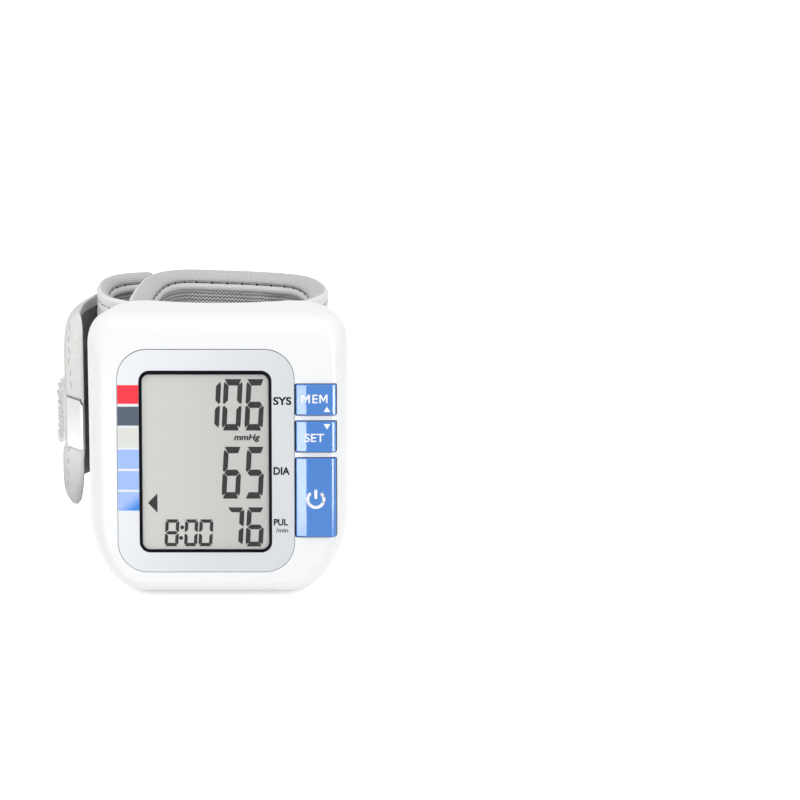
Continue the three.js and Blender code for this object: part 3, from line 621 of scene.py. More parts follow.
def rounded_rectangle(left, low, right, high, corner, steps=ARC_STEPS):
    radii = (corner, corner)
    return [
        *arc((right - corner, low + corner), radii, -90, steps),
        *arc((right - corner, high - corner), radii, 0, steps),
        *arc((left + corner, high - corner), radii, 90, steps),
        *arc((left + corner, low + corner), radii, 180, steps),
    ]


def face_frame():
    """The leaning face's frame: x across, y into the casing, z up the face."""
    casing = bpy.context.scene.monitor_casing
    return Matrix.Translation((0, casing.front_y, 0)) @ Matrix.Rotation(-casing.lean, 4, "X")


def lean(bm):
    bmesh.ops.transform(bm, matrix=face_frame(), verts=bm.verts)
    return bm


def face_box(node):
    """A node's left, low, right and high on the leaning face."""
    back = face_frame().inverted()
    points = [back @ vertex.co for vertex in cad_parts[node].data.vertices]
    across = [point.x for point in points]
    up = [point.z for point in points]
    return min(across), min(up), max(across), max(up)


def prism(bm, outline, front, back):
    """A flat outline in the face's frame, pushed from depth front to depth back."""
    loft(bm, [[(x, depth, v) for x, v in outline] for depth in (front, back)])


def slice_across(bm, start, end, step):
    """Cuts a mesh by upright planes, so that it can be bent across."""
    place = start
    while place < end:
        everything = [*bm.verts, *bm.edges, *bm.faces]
        bmesh.ops.bisect_plane(bm, geom=everything, plane_co=(place, 0, 0), plane_no=(1, 0, 0))
        place += step


def word_mesh(text, bounds, weight, shear=0.0):
    """Filled lettering fitted to a box on the leaning face, as a bmesh on y = 0."""
    curve = bpy.data.curves.new("lettering", "FONT")
    curve.body = text
    curve.shear = shear
    curve.offset = weight
    curve.extrude = 0.5
    curve.resolution_u = 4
    holder = bpy.data.objects.new("lettering", curve)
    bpy.context.scene.collection.objects.link(holder)
    graph = bpy.context.evaluated_depsgraph_get()
    mesh = bpy.data.meshes.new_from_object(holder.evaluated_get(graph))
    bm = bmesh.new()
    bm.from_mesh(mesh)
    bpy.data.objects.remove(holder)
    bpy.data.curves.remove(curve)
    bpy.data.meshes.remove(mesh)
    left, low, right, high = (value * MM for value in bounds)
    xs = [vertex.co.x for vertex in bm.verts]
    ys = [vertex.co.y for vertex in bm.verts]
    wide = (right - left) / (max(xs) - min(xs))
    tall = (high - low) / (max(ys) - min(ys))
    for vertex in bm.verts:
        x, y, z = vertex.co
        vertex.co = (left + (x - min(xs)) * wide, -z, low + (y - min(ys)) * tall)
    return bm


def letter_m(bounds):
    """An M with upright stems, as one outline."""
    left, low, right, high = (value * MM for value in bounds)
    wide = right - left
    tall = high - low
    stem = 0.19 * wide
    shoulder = 1.25 * stem
    outline = [
        (0, 0), (0, tall), (shoulder, tall), (wide / 2, 0.48 * tall), (wide - shoulder, tall),
        (wide, tall), (wide, 0), (wide - stem, 0), (wide - stem, 0.66 * tall),
        (wide / 2, 0.14 * tall), (stem, 0.66 * tall), (stem, 0),
    ]
    return [(left + x, low + y) for x, y in outline]


def print_between(letters, front, back):
    """Makes lettering as deep as a print."""
    for vertex in letters.verts:
        vertex.co.y = front if vertex.co.y < 0 else back
    return letters


def merge_into(bm, other):
    """Adds another bmesh's faces to this one."""
    mesh = bpy.data.meshes.new("merged")
    other.to_mesh(mesh)
    other.free()
    bm.from_mesh(mesh)
    bpy.data.meshes.remove(mesh)


def cut(obj, bm, operation="DIFFERENCE"):
    """Cuts an object by a closed bmesh."""
    cutter = make_object("cutter", face_outwards(bm), [])
    modifier = obj.modifiers.new("cut", "BOOLEAN")
    modifier.operation = operation
    modifier.solver = "EXACT"
    modifier.object = cutter
    graph = bpy.context.evaluated_depsgraph_get()
    mesh = bpy.data.meshes.new_from_object(obj.evaluated_get(graph))
    obj.modifiers.clear()
    obj.data = mesh
    bpy.data.objects.remove(cutter)
    soften(obj)


def even_normals(obj):
    """Keeps large flat faces flat beside their rounded rims."""
    modifier = obj.modifiers.new("even normals", "WEIGHTED_NORMAL")
    modifier.keep_sharp = True
    modifier.weight = 80


class Ribbon:
    """A smooth route on the floor plan, measured along its length."""

    SAMPLES = 30

    def __init__(self, route):
        points = [Vector(point) * MM for point in route]
        before = 2 * points[0] - points[1]
        after = 2 * points[-1] - points[-2]
        padded = [before, *points, after]
        self.line = []
        for quad in zip(padded, padded[1:], padded[2:], padded[3:]):
            for k in range(self.SAMPLES):
                self.line.append(self.between(quad, k / self.SAMPLES))
        self.line.append(points[-1])
        self.marks = [0.0]
        for first, second in zip(self.line, self.line[1:]):
            self.marks.append(self.marks[-1] + (second - first).length)
        self.length = self.marks[-1]

    @staticmethod
    def between(quad, share):
        """A centripetal spline between the middle two of four points."""
        before, start, end, after = quad
        steps = [max(math.sqrt((b - a).length), 1e-6) for a, b in zip(quad, quad[1:])]
        first, middle, last = steps
        leaving = (
            (start - before) / first - (end - before) / (first + middle) + (end - start) / middle
        ) * middle
        arriving = (
            (end - start) / middle - (after - start) / (middle + last) + (after - end) / last
        ) * middle
        square = share * share
        cube = square * share
        return (
            start * (2 * cube - 3 * square + 1) + leaving * (cube - 2 * square + share)
            + end * (3 * square - 2 * cube) + arriving * (cube - square)
        )

    def at(self, distance):
        """The point and the unit direction at a distance along the route, or beyond its ends."""
        inside = min(max(distance, 0), self.length)
        i = min(max(bisect_right(self.marks, inside) - 1, 0), len(self.line) - 2)
        share = (inside - self.marks[i]) / (self.marks[i + 1] - self.marks[i])
        ahead = self.line[min(i + 2, len(self.line) - 1)] - self.line[i + 1]
        along = (self.line[i + 1] - self.line[i]).normalized()
        if ahead.length:
            along = along.lerp(ahead.normalized(), share).normalized()
        point = self.line[i].lerp(self.line[i + 1], share)
        return point + along * (distance - inside), along

    def side(self, distance, offset, height):
        """The point set off to the left of the route, which is the cuff's outside, at a height."""
        point, along = self.at(distance)
        return Vector((point.x - along.y * offset, point.y + along.x * offset, height))


def between_marks(marks, place):
    """A value between the listed ones, eased at each mark."""
    place = min(max(place, marks[0][0]), marks[-1][0])
    for (first, low), (second, high) in zip(marks, marks[1:]):
        if place <= second:
            share = (place - first) / (second - first)
            return low + (high - low) * smooth(share)
    return marks[-1][1]


def stations(start, end, step):
    count = max(2, math.ceil(abs(end - start) / step))
    return [start + (end - start) * k / count for k in range(count + 1)]


def sweep(bm, ribbon, distances, section, trim=()):
    """Carries a closed section of (offset, height) points along a ribbon, with caps.

    The map holds metres along the ribbon and metres round the section. Sides of the section that
    trim lists take the second material.
    """
    layer = bm.loops.layers.uv.verify()
    rings = []
    girths = []
    for distance in distances:
        points = [ribbon.side(distance, offset, height) for offset, height in section(distance)]
        girth = [0.0]
        for first, second in zip(points, [*points[1:], points[0]]):
            girth.append(girth[-1] + (second - first).length)
        rings.append([bm.verts.new(point) for point in points])
        girths.append(girth)
    count = len(rings[0])
    for k in range(len(rings) - 1):
        for i in range(count):
            j = (i + 1) % count
            face = bm.faces.new((rings[k][i], rings[k][j], rings[k + 1][j], rings[k + 1][i]))
            face.material_index = 1 if i in trim else 0
            places = [
                (distances[k], girths[k][i]), (distances[k], girths[k][i + 1]),
                (distances[k + 1], girths[k + 1][i + 1]), (distances[k + 1], girths[k + 1][i]),
            ]
            for loop, place in zip(face.loops, places):
                loop[layer].uv = place
    for ring in (rings[0], rings[-1]):
        bm.faces.new(ring)
    face_outwards(bm)


def circle(centre, across, other, radius, sides):
    """Points round a centre, in the plane of two unit directions."""
    return [
        centre + (across * math.cos(angle) + other * math.sin(angle)) * radius
        for angle in full_turn(sides)
    ]


def tube(bm, points, radius, sides=6):
    """A round thread through points, drawn in at its ends."""
    rings = []
    last = len(points) - 1
    for k, point in enumerate(points):
        along = (points[min(k + 1, last)] - points[max(k - 1, 0)]).normalized()
        across = along.orthogonal().normalized()
        other = along.cross(across)
        reach = radius * (0.45 if k in (0, last) else 1)
        rings.append(circle(point, across, other, reach, sides))
    loft(bm, rings)


# The casing

def casing_outline(inset, rearward=0.0):
    """The casing's outline seen from the front, as (x, z) points, moved in by inset.

    The upper corners grow rounder from the parting plane, where rearward is 0, to the back.
    """
    casing = bpy.context.scene.monitor_casing
    half = casing.width / 2 - inset
    across = casing.base_across - inset
    up = casing.base_up - inset
    low = inset + up
    sharper = 0.35 * inset
    wide = casing.front_across + (casing.back_across - casing.front_across) * rearward - sharper
    tall = casing.front_up + (casing.back_up - casing.front_up) * rearward - sharper
    high = casing.height - inset - tall
    return [
        *arc((half - across, low), (across, up), -90),
        *arc((half - wide, high), (wide, tall), 0),
        *arc((wide - half, high), (wide, tall), 90),
        *arc((across - half, low), (across, up), 180),
    ]


def front_form(shrink, end_y):
    """The front half with its surface moved in by shrink, back to a plane."""
    casing = bpy.context.scene.monitor_casing

    def ring(inset, along):
        points = []
        for x, z in casing_outline(inset):
            face_y = casing.front_y + z * math.tan(casing.lean) + shrink / math.cos(casing.lean)
            points.append((x, face_y + (end_y - face_y) * along, z))
        return points

    rings = [ring(casing.front_round + shrink + 0.4 * MM, 0)]
    for k in range(ROUND_STEPS + 1):
        turn = math.pi / 2 * k / ROUND_STEPS
        rings.append(ring(casing.front_round * (1 - math.sin(turn)) + shrink, 1 - math.cos(turn)))
    return skinned(rings)


def rear_form(shrink, start_y):
    """The rear half, from a plane to its rounded back."""
    casing = bpy.context.scene.monitor_casing
    rings = [[(x, start_y, z) for x, z in casing_outline(shrink)]]
    for k in range(ROUND_STEPS + 1):
        turn = math.pi / 2 * k / ROUND_STEPS
        inset = casing.back_round * (1 - math.cos(turn)) + shrink
        reach = (casing.back_round - shrink) * math.sin(turn)
        y = casing.back_y - casing.back_round + reach
        rings.append([(x, y, z) for x, z in casing_outline(inset, 1.0)])
    return skinned(rings)


def wrist_form(grow):
    """The round form that hollows the casing's back."""
    casing = bpy.context.scene.monitor_casing
    centre = casing.wrist_apex + casing.wrist_radius
    radius = casing.wrist_radius + grow
    past = 5 * MM
    rings = []
    for z in (-past, casing.height + past):
        middle = Vector((0, centre, z))
        rings.append(circle(middle, Vector((0, -1, 0)), Vector((1, 0, 0)), radius, 160))
    return skinned(rings)


def block(low, high):
    """A plain box between two corners, for cutting."""
    bm = bmesh.new()
    bmesh.ops.create_cube(bm, size=1)
    for vertex in bm.verts:
        vertex.co = [a + (b - a) * (c + 0.5) for a, b, c in zip(low, high, vertex.co)]
    return bm


def leaned_cut(outline, depth):
    """A form that cuts an outline into the leaning face, down to a depth."""
    bm = bmesh.new()
    prism(bm, outline, -2 * MM, depth)
    return lean(bm)


def make_front_casing(material):
    casing = bpy.context.scene.monitor_casing
    keys = bpy.context.scene.monitor_keys
    display = bpy.context.scene.monitor_display
    shell = make_object("casing_front", front_form(0, casing.parting_y - PARTING_GAP), [material])
    cut(shell, front_form(casing.wall, casing.parting_y + MM))
    left, low, right, high = plate_box()
    play = 0.13 * MM
    top_play = 0.22 * MM
    seat = rounded_rectangle(
        left - play, low - play, right + play, high + top_play, display.plate_corner + play
    )
    cut(shell, leaned_cut(seat, SEAT_DEPTH))
    cut(shell, leaned_cut(rounded_rectangle(*frame_box(), MM), WINDOW_DEPTH))
    play = 0.2 * MM
    left_play = 0.33 * MM
    for node in KEY_ROWS:
        low, high = key_rows(node)
        way = rounded_rectangle(
            keys.left - left_play, low - play, keys.right + play, high + play, 0.6 * MM
        )
        cut(shell, leaned_cut(way, KEY_WAY_DEPTH))
    even_normals(shell)
    mount(shell, "casing", "casing_white", "front_casing")


def make_rear_casing(material):
    casing = bpy.context.scene.monitor_casing
    shell = make_object("casing_rear", rear_form(0, casing.parting_y + PARTING_GAP), [material])
    cut(shell, wrist_form(0))
    inner = make_object("hollow", rear_form(casing.wall, casing.parting_y - MM), [])
    cut(inner, wrist_form(casing.wall))
    hollow = bmesh.new()
    hollow.from_mesh(inner.data)
    bpy.data.objects.remove(inner)
    cut(shell, hollow)
    for k in range(1, 5):
        low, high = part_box(f"case_screw_{k}")
        middle = (low + high) / 2
        well = []
        for y in (high.y - 1.8 * MM, casing.back_y + MM):
            centre = Vector((middle.x, y, middle.z))
            well.append(circle(centre, Vector((1, 0, 0)), Vector((0, 0, 1)), 2.5 * MM, 24))
        cut(shell, skinned(well))
    low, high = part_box("battery_cover")
    door = make_object("battery_door", bmesh.new(), [material])
    door.data = shell.data.copy()
    low.x = DOOR_LEFT
    high.x += 5 * MM
    edge = Vector((0, DOOR_PLAY, DOOR_PLAY))
    cut(shell, block(low - edge, high + edge))
    cut(door, block(low, high), "INTERSECT")
    add_thumb_ridges(door)
    for obj in (shell, door):
        even_normals(obj)
    mount(shell, "casing", "casing_white", "rear_casing")
    mount(door, "battery_cover", "casing_white", "battery_cover")


def add_thumb_ridges(door):
    """Rounded ridges for the thumb on the battery door."""
    casing = bpy.context.scene.monitor_casing
    across = casing.width / 2 - 0.4 * MM
    bm = bmesh.new()
    bm.from_mesh(door.data)
    for height in RIDGE_ROWS:
        points = [Vector((across, y * MM, height * MM)) for y in RIDGE_SPINE]
        tube(bm, points, 0.5 * MM, sides=12)
    bm.to_mesh(door.data)
    bm.free()
    soften(door)


class MONITOR_OT_casing(bpy.types.Operator):
    """Moulds the two halves of the casing and the battery door"""
    bl_idname = "monitor.casing"
    bl_label = "Mould the Casing"

    def execute(self, context):
        material = moulded("white moulded plastic", context.scene.monitor_casing.tone)
        make_front_casing(material)
        make_rear_casing(material)
        return {"FINISHED"}


# The display

def framed_ring(name, material, profile):
    """A flat ring of rounded rectangles: each profile entry gives a box, a corner and a depth."""
    rings = []
    for bounds, corner, depth in profile:
        rings.append([(x, depth, v) for x, v in rounded_rectangle(*bounds, corner)])
    obj = make_object(name, lean(skinned(rings, cyclic=True)), [material])
    even_normals(obj)
    return obj


def grown(bounds, amount):
    left, low, right, high = bounds
    return left - amount, low - amount, right + amount, high + amount


def drawn_in(bounds, side, base, top):
    left, low, right, high = bounds
    return left + side, low + base, right - side, high - top


def plate_box():
    """The faceplate's box on the leaning face, as it sits in its seat."""
    display = bpy.context.scene.monitor_display
    left, low, right, high = face_box("faceplate")
    return left, low - 1.25 * display.drop, right + 0.08 * MM, high - display.drop


def frame_box():
    """The dark frame's box on the leaning face, as it sits in the plate."""
    display = bpy.context.scene.monitor_display
    left, low, right, high = face_box("display_frame")
    low -= 1.25 * display.drop
    high -= 0.65 * display.drop
    return left + 0.06 * MM, low, right - 0.09 * MM, high


def frame_opening(display, share=1.0):
    """The dark frame's opening, or a line that lies a share of the way in to it."""
    widths = (display.border_side, display.border_base, display.border_top)
    return drawn_in(frame_box(), *[share * width for width in widths])


def silver_plate(display):
    """The faceplate: a pale film, with painted shade that greys it towards its lower right."""
    finish = Finish("silver film", display.plate_tone, 0.32, coat_weight=0.3, coat_roughness=0.2)
    across, _, up = finish.axes(finish.here())
    # Painted shade: the film darkens to 86 % towards the plate's lower right.
    slope = finish.maths("SUBTRACT", across, finish.maths("MULTIPLY", up, 0.35))
    share = finish.step(slope, -0.042, 0.005)
    finish.paint(finish.mix(share, finish.tone, dimmed(finish.tone, 0.86)))
    finish.wear(0.27, 0.37, 240)
    finish.bump(finish.noise(3200, 2), 0.000008)
    return finish.material


def make_faceplate(display):
    plate = plate_box()
    opening = grown(frame_box(), SEAT_PLAY)
    corner = display.plate_corner
    rim = 0.12 * MM
    hole = display.border_corner + SEAT_PLAY
    obj = framed_ring("silver_faceplate", silver_plate(display), [
        (plate, corner, PLATE_BACK),
        (plate, corner, PLATE_FRONT + rim),
        (grown(plate, -rim), corner - rim, PLATE_FRONT),
        (grown(plate, -2 * rim), corner - 2 * rim, PLATE_FRONT),
        (grown(opening, rim), hole + rim, PLATE_FRONT),
        (opening, hole, PLATE_FRONT),
        (opening, hole, PLATE_BACK),
    ])
    mount(obj, "casing", "faceplate_silver", "faceplate")


def make_border(display):
    border = frame_box()
    corner = display.border_corner
    inside = frame_opening(display)
    tight = corner - OPENING_TIGHTER
    rim = 0.18 * MM
    lip = 0.2 * MM
    lap = display.glass_depth - LAP_PLAY
    finish = Finish("navy frame", display.border_tone, 0.3, specular_ior_level=0.05)
    finish.mottle(0.25, 90)
    finish.wear(0.25, 0.36, 300)
    obj = framed_ring("navy_frame", finish.material, [
        (border, corner, PLATE_BACK),
        (border, corner, FRAME_FRONT + rim),
        (grown(border, -rim), corner - rim, FRAME_FRONT),
        (frame_opening(display, 0.72), corner - 0.5 * MM, FRAME_FRONT + 0.08 * MM),
        (inside, tight, FRAME_FRONT + 0.4 * MM),
        (inside, tight, lap),
        (grown(border, -lip), corner - lip, lap),
        (grown(border, -lip), corner - lip, PLATE_BACK),
    ])
    mount(obj, "casing", "frame_navy", "display_frame")


def slab(name, material, bounds, corner, steps):
    """A flat slab in the face's frame: each step gives how far it is drawn in, and a depth."""
    rings = []
    for inset, depth in steps:
        outline = rounded_rectangle(*grown(bounds, -inset), corner)
        rings.append([(x, depth, v) for x, v in outline])
    obj = make_object(name, lean(skinned(rings)), [material])
    even_normals(obj)
    return obj


def make_lens(display):
    """The clear window in the frame, with bevelled edges."""
    lens = Finish("clear lens", (0.95, 0.97, 0.98), 0.06, alpha=0.02, specular_ior_level=0.08)
    lens.bump(lens.noise(500, 1), 0.000002)
    opening = grown(frame_opening(display), -0.03 * MM)
    rim = 0.06 * MM
    back = display.glass_depth - LAP_PLAY
    obj = slab("clear_lens", lens.material, opening, display.border_corner - OPENING_TIGHTER, [
        (rim, back), (0, back - rim), (0, LENS_FRONT + rim), (rim, LENS_FRONT),
        (2 * rim, LENS_FRONT),
    ])
    mount(obj, "casing", "lens_clear", "display_lens")


def make_panel_glass(display):
    """The display's glass: a thin slab with a ground rim, which the frame laps over."""
    panel = Finish("grey display", display.glass_tone, 0.35, specular_ior_level=0.2)
    # Painted shade: the display's grey darkens to 86 % towards its right side.
    across, _, _ = panel.axes(panel.here())
    share = panel.step(across, -0.02, 0.018)
    panel.paint(panel.mix(share, panel.tone, dimmed(panel.tone, 0.86)))
    panel.bump(panel.noise(4000, 1), 0.000002)
    rim = 0.15 * MM
    front = display.glass_depth
    obj = slab("display_glass", panel.material, grown(frame_box(), -0.35 * MM), MM, [
        (0, 3.05 * MM), (0, front + rim), (rim, front), (2 * rim, front),
    ])
    mount(obj, "casing", "lcd_grey", "lcd_panel")


def segment_outlines(width, height, stroke):
    """The seven strokes of a digit: bars with slanted ends, and uprights that taper to points."""
    bar = 0.125 * height
    gap = 0.12 * MM
    middle = height / 2
    half = 0.48 * bar
    inner = width - stroke
    tip = 0.2 * MM
    neck = half + 0.35 * MM
    return {
        "a": [(0.12 * stroke, height), (width - 0.35 * stroke, height),
              (width - 0.8 * stroke, height - bar), (0.95 * stroke, height - bar)],
        "b": [(width - 0.15 * stroke, height - 0.4 * bar), (width, height - bar),
              (width, middle + 0.7 * half), (width - 0.3 * stroke, middle + tip),
              (inner, middle + neck), (inner, height - bar - gap)],
        "c": [(width - 0.3 * stroke, middle - tip), (width, middle - 0.7 * half), (width, bar),
              (width - 0.15 * stroke, 0.4 * bar), (inner, bar + gap), (inner, middle - neck)],
        "d": [(0.28 * stroke, 0), (0.78 * stroke, bar), (width - 0.75 * stroke, bar),
              (width - 0.35 * stroke, 0)],
        "e": [(0.3 * stroke, middle - tip), (stroke, middle - neck), (stroke, bar + gap),
              (0.15 * stroke, 0.4 * bar), (0, bar), (0, middle - 0.7 * half)],
        "f": [(0.15 * stroke, height - 0.4 * bar), (stroke, height - bar - gap),
              (stroke, middle + neck), (0.3 * stroke, middle + tip), (0, middle + 0.7 * half),
              (0, height - bar)],
        "g": [(0.35 * stroke, middle), (0.85 * stroke, middle + half),
              (width - 0.85 * stroke, middle + half), (width - 0.35 * stroke, middle),
              (width - 0.85 * stroke, middle - half), (0.85 * stroke, middle - half)],
    }


def make_digits(display):
    """The lit strokes of the display, just in front of its panel."""
    finish = Finish("display ink", display.segment_tone, 0.6, specular_ior_level=0.1)
    finish.mottle(0.05, 700)
    slant = 0.055
    front = display.glass_depth - display.print_height
    back = display.glass_depth - 0.005 * MM
    bm = bmesh.new()
    for digit, (left, low), (right, high), stroke in DIGITS:
        width = (right - left) * MM
        height = (high - low) * MM
        reach = 1.0 if "b" in SEGMENTS[digit] else 0.52
        strokes = segment_outlines(width - slant * height * reach, height, stroke * MM)
        for name in SEGMENTS[digit]:
            outline = [(left * MM + x + slant * v, low * MM + v) for x, v in strokes[name]]
            prism(bm, outline, front, back)
    dot = 0.5 * MM
    for x, v in in_metres(COLON):
        ring = [(x + dot * math.cos(angle), v + dot * math.sin(angle)) for angle in full_turn(20)]
        prism(bm, ring, front, back)
    prism(bm, in_metres(POINTER), front, back)
    word, bounds = UNIT_WORD
    merge_into(bm, print_between(word_mesh(word, bounds, 0.038, shear=0.2), front, back))
    obj = make_object("display_digits", lean(face_outwards(bm)), [finish.material])
    mount(obj, "casing", "component_black")


def make_plate_print(display):
    """Words and the colour scale, printed on the faceplate."""
    front = PLATE_FRONT - display.print_height
    finish = Finish("dark print", display.word_tone, 0.5, specular_ior_level=0.1)
    finish.mottle(0.1, 500)
    bm = bmesh.new()
    for word, bounds in PLATE_WORDS.items():
        letters = word_mesh(word, bounds, 0.012 if word == "/min" else 0.03)
        merge_into(bm, print_between(letters, front, PLATE_FRONT))
    mount(make_object("plate_words", lean(bm), [finish.material]), "casing", "component_black")
    left = plate_box()[0] + 0.06 * MM
    right = frame_box()[0] - 0.14 * MM
    for name, (levels, low, high) in SCALE_BARS.items():
        bm = bmesh.new()
        outline = [(left, low * MM), (right, low * MM), (right, high * MM), (left, high * MM)]
        prism(bm, outline, front, PLATE_FRONT)
        obj = make_object(name, close_up(lean(bm)), [scale_ink(name, levels)])
        mount(obj, "casing", "faceplate_silver")


def scale_ink(name, levels):
    """A bar of the colour scale, with painted shade that darkens it at the scale's lower right
    end.
    """
    finish = Finish(name.replace("_", " "), linear_colour(*levels), 0.4, specular_ior_level=0.15)
    across, _, up = finish.axes(finish.here())
    reach = finish.maths("SUBTRACT", across, finish.maths("MULTIPLY", up, 1.3))
    # Painted shade: each bar dims to 94 % towards the lower right, as the faceplate greys; the
    # lowest blue bar turns a strong blue there instead.
    low = linear_colour(60, 142, 236)
    deep = low if name == "scale_blue_low" else dimmed(finish.tone, 0.94)
    finish.paint(finish.mix(finish.step(reach, -0.0565, -0.0505), finish.tone, deep))
    finish.wear(0.3, 0.42, 300)
    return finish.material


class MONITOR_OT_display(bpy.types.Operator):
    """Fits the faceplate, its print, the dark frame, the lens and the digits"""
    bl_idname = "monitor.display"
    bl_label = "Fit the Display"

    def execute(self, context):
        display = context.scene.monitor_display
        make_faceplate(display)
        make_border(display)
        make_lens(display)
        make_panel_glass(display)
        make_digits(display)
        make_plate_print(display)
        return {"FINISHED"}


# The keys

def key_rows(node):
    """A key's lower and upper edge on the leaning face."""
    return [edge * MM for edge in KEY_ROWS[node]]


def key_surface(x, v):
    """Depth of a key's front at a place on the face: a slope on the left, a roll on the right."""
    keys = bpy.context.scene.monitor_keys
    casing = bpy.context.scene.monitor_casing
    ease = 0.45 * MM
    short = keys.left + keys.facet - x
    fall = 0.0
    if short > -ease:
        run = min(short + ease, 2 * ease)
        fall = math.tan(keys.slope) * (run * run / (4 * ease) + max(short - ease, 0))
    inset = casing.width / 2 - x
    roll = 0.0
    if inset < casing.front_round:
        turn = math.asin(1 - inset / casing.front_round)
        face_y = casing.front_y + v * math.sin(casing.lean)
        roll = (casing.parting_y - face_y) * (1 - math.cos(turn))
    return -keys.proud + fall + roll


def glossy_key(keys):
    """Polished blue plastic."""
    finish = Finish("blue key", keys.tone, 0.16, coat_weight=0.35, coat_roughness=0.06)
    finish.mottle(0.03, 80)
    finish.wear(0.13, 0.2, 260)
    finish.bump(finish.noise(2200, 2), 0.000006)
    return finish.material


def make_key(node, material):
    """A key with rounded edges and a front that is crowned from side to side."""
    keys = bpy.context.scene.monitor_keys
    low, high = key_rows(node)
    bm = block((keys.left, 0, low), (keys.right, keys.depth, high))
    bmesh.ops.bevel(
        bm, geom=bm.edges[:], offset=keys.edge, segments=4, profile=0.5, affect="EDGES"
    )
    slice_across(bm, keys.left + SLICE_START, keys.right - 0.5 * MM, SLICE_STEP)
    for vertex in bm.verts:
        share = 1 - vertex.co.y / keys.depth
        vertex.co.y += share * key_surface(vertex.co.x, vertex.co.z)
    obj = make_object(node.replace("button", "key"), close_up(lean(bm)), [material])
    even_normals(obj)
    mount(obj, node, "button_blue", node)


def legend_on_key(bm, node, name, material):
    """Lays a flat legend on a key's crowned front."""
    display = bpy.context.scene.monitor_display
    keys = bpy.context.scene.monitor_keys
    slice_across(bm, keys.left + SLICE_START, keys.right, SLICE_STEP)
    for vertex in bm.verts:
        lift = display.print_height if vertex.co.y < 0 else 0.0
        vertex.co.y = key_surface(vertex.co.x, vertex.co.z) - lift
    obj = make_object(name, lean(bm), [material])
    mount(obj, node, "faceplate_silver")


def power_mark():
    """The power sign: an open ring and a bar with round ends."""
    across, up = (value * MM for value in POWER_MARK)
    radius = 2.05 * MM
    half = 0.38 * MM
    opening = math.radians(40)
    steps = 40
    turn = 2 * math.pi - 2 * opening
    angles = [math.pi / 2 + opening + turn * k / steps for k in range(steps + 1)]
    inner, outer = (
        [(across + reach * math.cos(angle), up + reach * math.sin(angle)) for angle in angles]
        for reach in (radius - half, radius + half)
    )
    bm = bmesh.new()
    for k in range(steps):
        prism(bm, [outer[k], outer[k + 1], inner[k + 1], inner[k]], -MM, MM)
    prism(bm, rounded_rectangle(
        across - half, up + 0.1 * MM, across + half, up + radius + 0.5 * MM, half * 0.98, 5
    ), -MM, MM)
    return close_up(bm)


class MONITOR_OT_keys(bpy.types.Operator):
    """Fits the three blue keys and their legends"""
    bl_idname = "monitor.keys"
    bl_label = "Fit the Keys"

    def execute(self, context):
        keys = context.scene.monitor_keys
        material = glossy_key(keys)
        ink = Finish("white print", keys.legend_tone, 0.4)
        ink.mottle(0.02, 400)
        for node in KEY_ROWS:
            make_key(node, material)
        for node, words in KEY_WORDS.items():
            bm = bmesh.new()
            for word, bounds in words:
                if word == "M":
                    prism(bm, letter_m(bounds), -MM, MM)
                else:
                    merge_into(bm, word_mesh(word, bounds, 0.012))
            prism(bm, in_metres(KEY_ARROWS[node]), -MM, MM)
            legend_on_key(bm, node, node.replace("button", "legend"), ink.material)
        legend_on_key(power_mark(), "power_button", "power_legend", ink.material)
        return {"FINISHED"}


# The cuff

def band_half(band, distance):
    """Half the band's thickness, which falls towards its outer fold."""
    cuff = bpy.context.scene.monitor_cuff
    share = smooth(clamp((distance / band.length - THIN_FROM) / THIN_OVER))
    return cuff.half + (cuff.thin_half - cuff.half) * share


def rim(distance):
    """Height of the band's upper edge."""
    cuff = bpy.context.scene.monitor_cuff
    return cuff.height + between_marks(RIM_LIFT, distance / MM) * MM


def pucker(distance, height, amount):
    """Small soft waves in padded cloth."""
    place = Vector((distance * 160, height * 90, 0.3))
    return amount * noise.noise(place)


def make_panel(name, material, sign, slot, node, reach):
    """One cloth of the band, crowned between its two bindings. sign is 1 outside and -1 inside."""
    cuff = bpy.context.scene.monitor_cuff
    band = Ribbon(BAND_ROUTE)
    low = CLOTH_EDGE
    sunk = 0.25 * MM
    rows = 22

    def section(distance):
        high = rim(distance) - CLOTH_EDGE
        half = band_half(band, distance)
        full = half / cuff.half
        face = []
        back = []
        for k in range(rows + 1):
            height = low + (high - low) * k / rows
            edge = min(height - low, high - height) / (6 * MM)
            crown = rounded(edge)
            puff = 0.3 * MM * crown * full + pucker(distance, height, 0.14 * MM) * crown
            face.append((sign * (half - sunk + puff), height))
            back.append((sign * (half - sunk - cuff.skin * full), height))
        return face + back[::-1]

    bm = bmesh.new()
    distances = stations(0.3 * MM, band.length - 0.3 * MM, 1.2 * MM)
    sweep(bm, band, distances, section)
    obj = make_object(name, bm, [material])
    count = 2 * (rows + 1)
    last = len(distances) - 1
    held = []
    for k in range(len(distances)):
        for i in range(count):
            if k in (0, last) or not 0 < i < rows:
                held.append(k * count + i)
    swell(obj, held, reach)
    return mount(obj, "casing", slot, node)


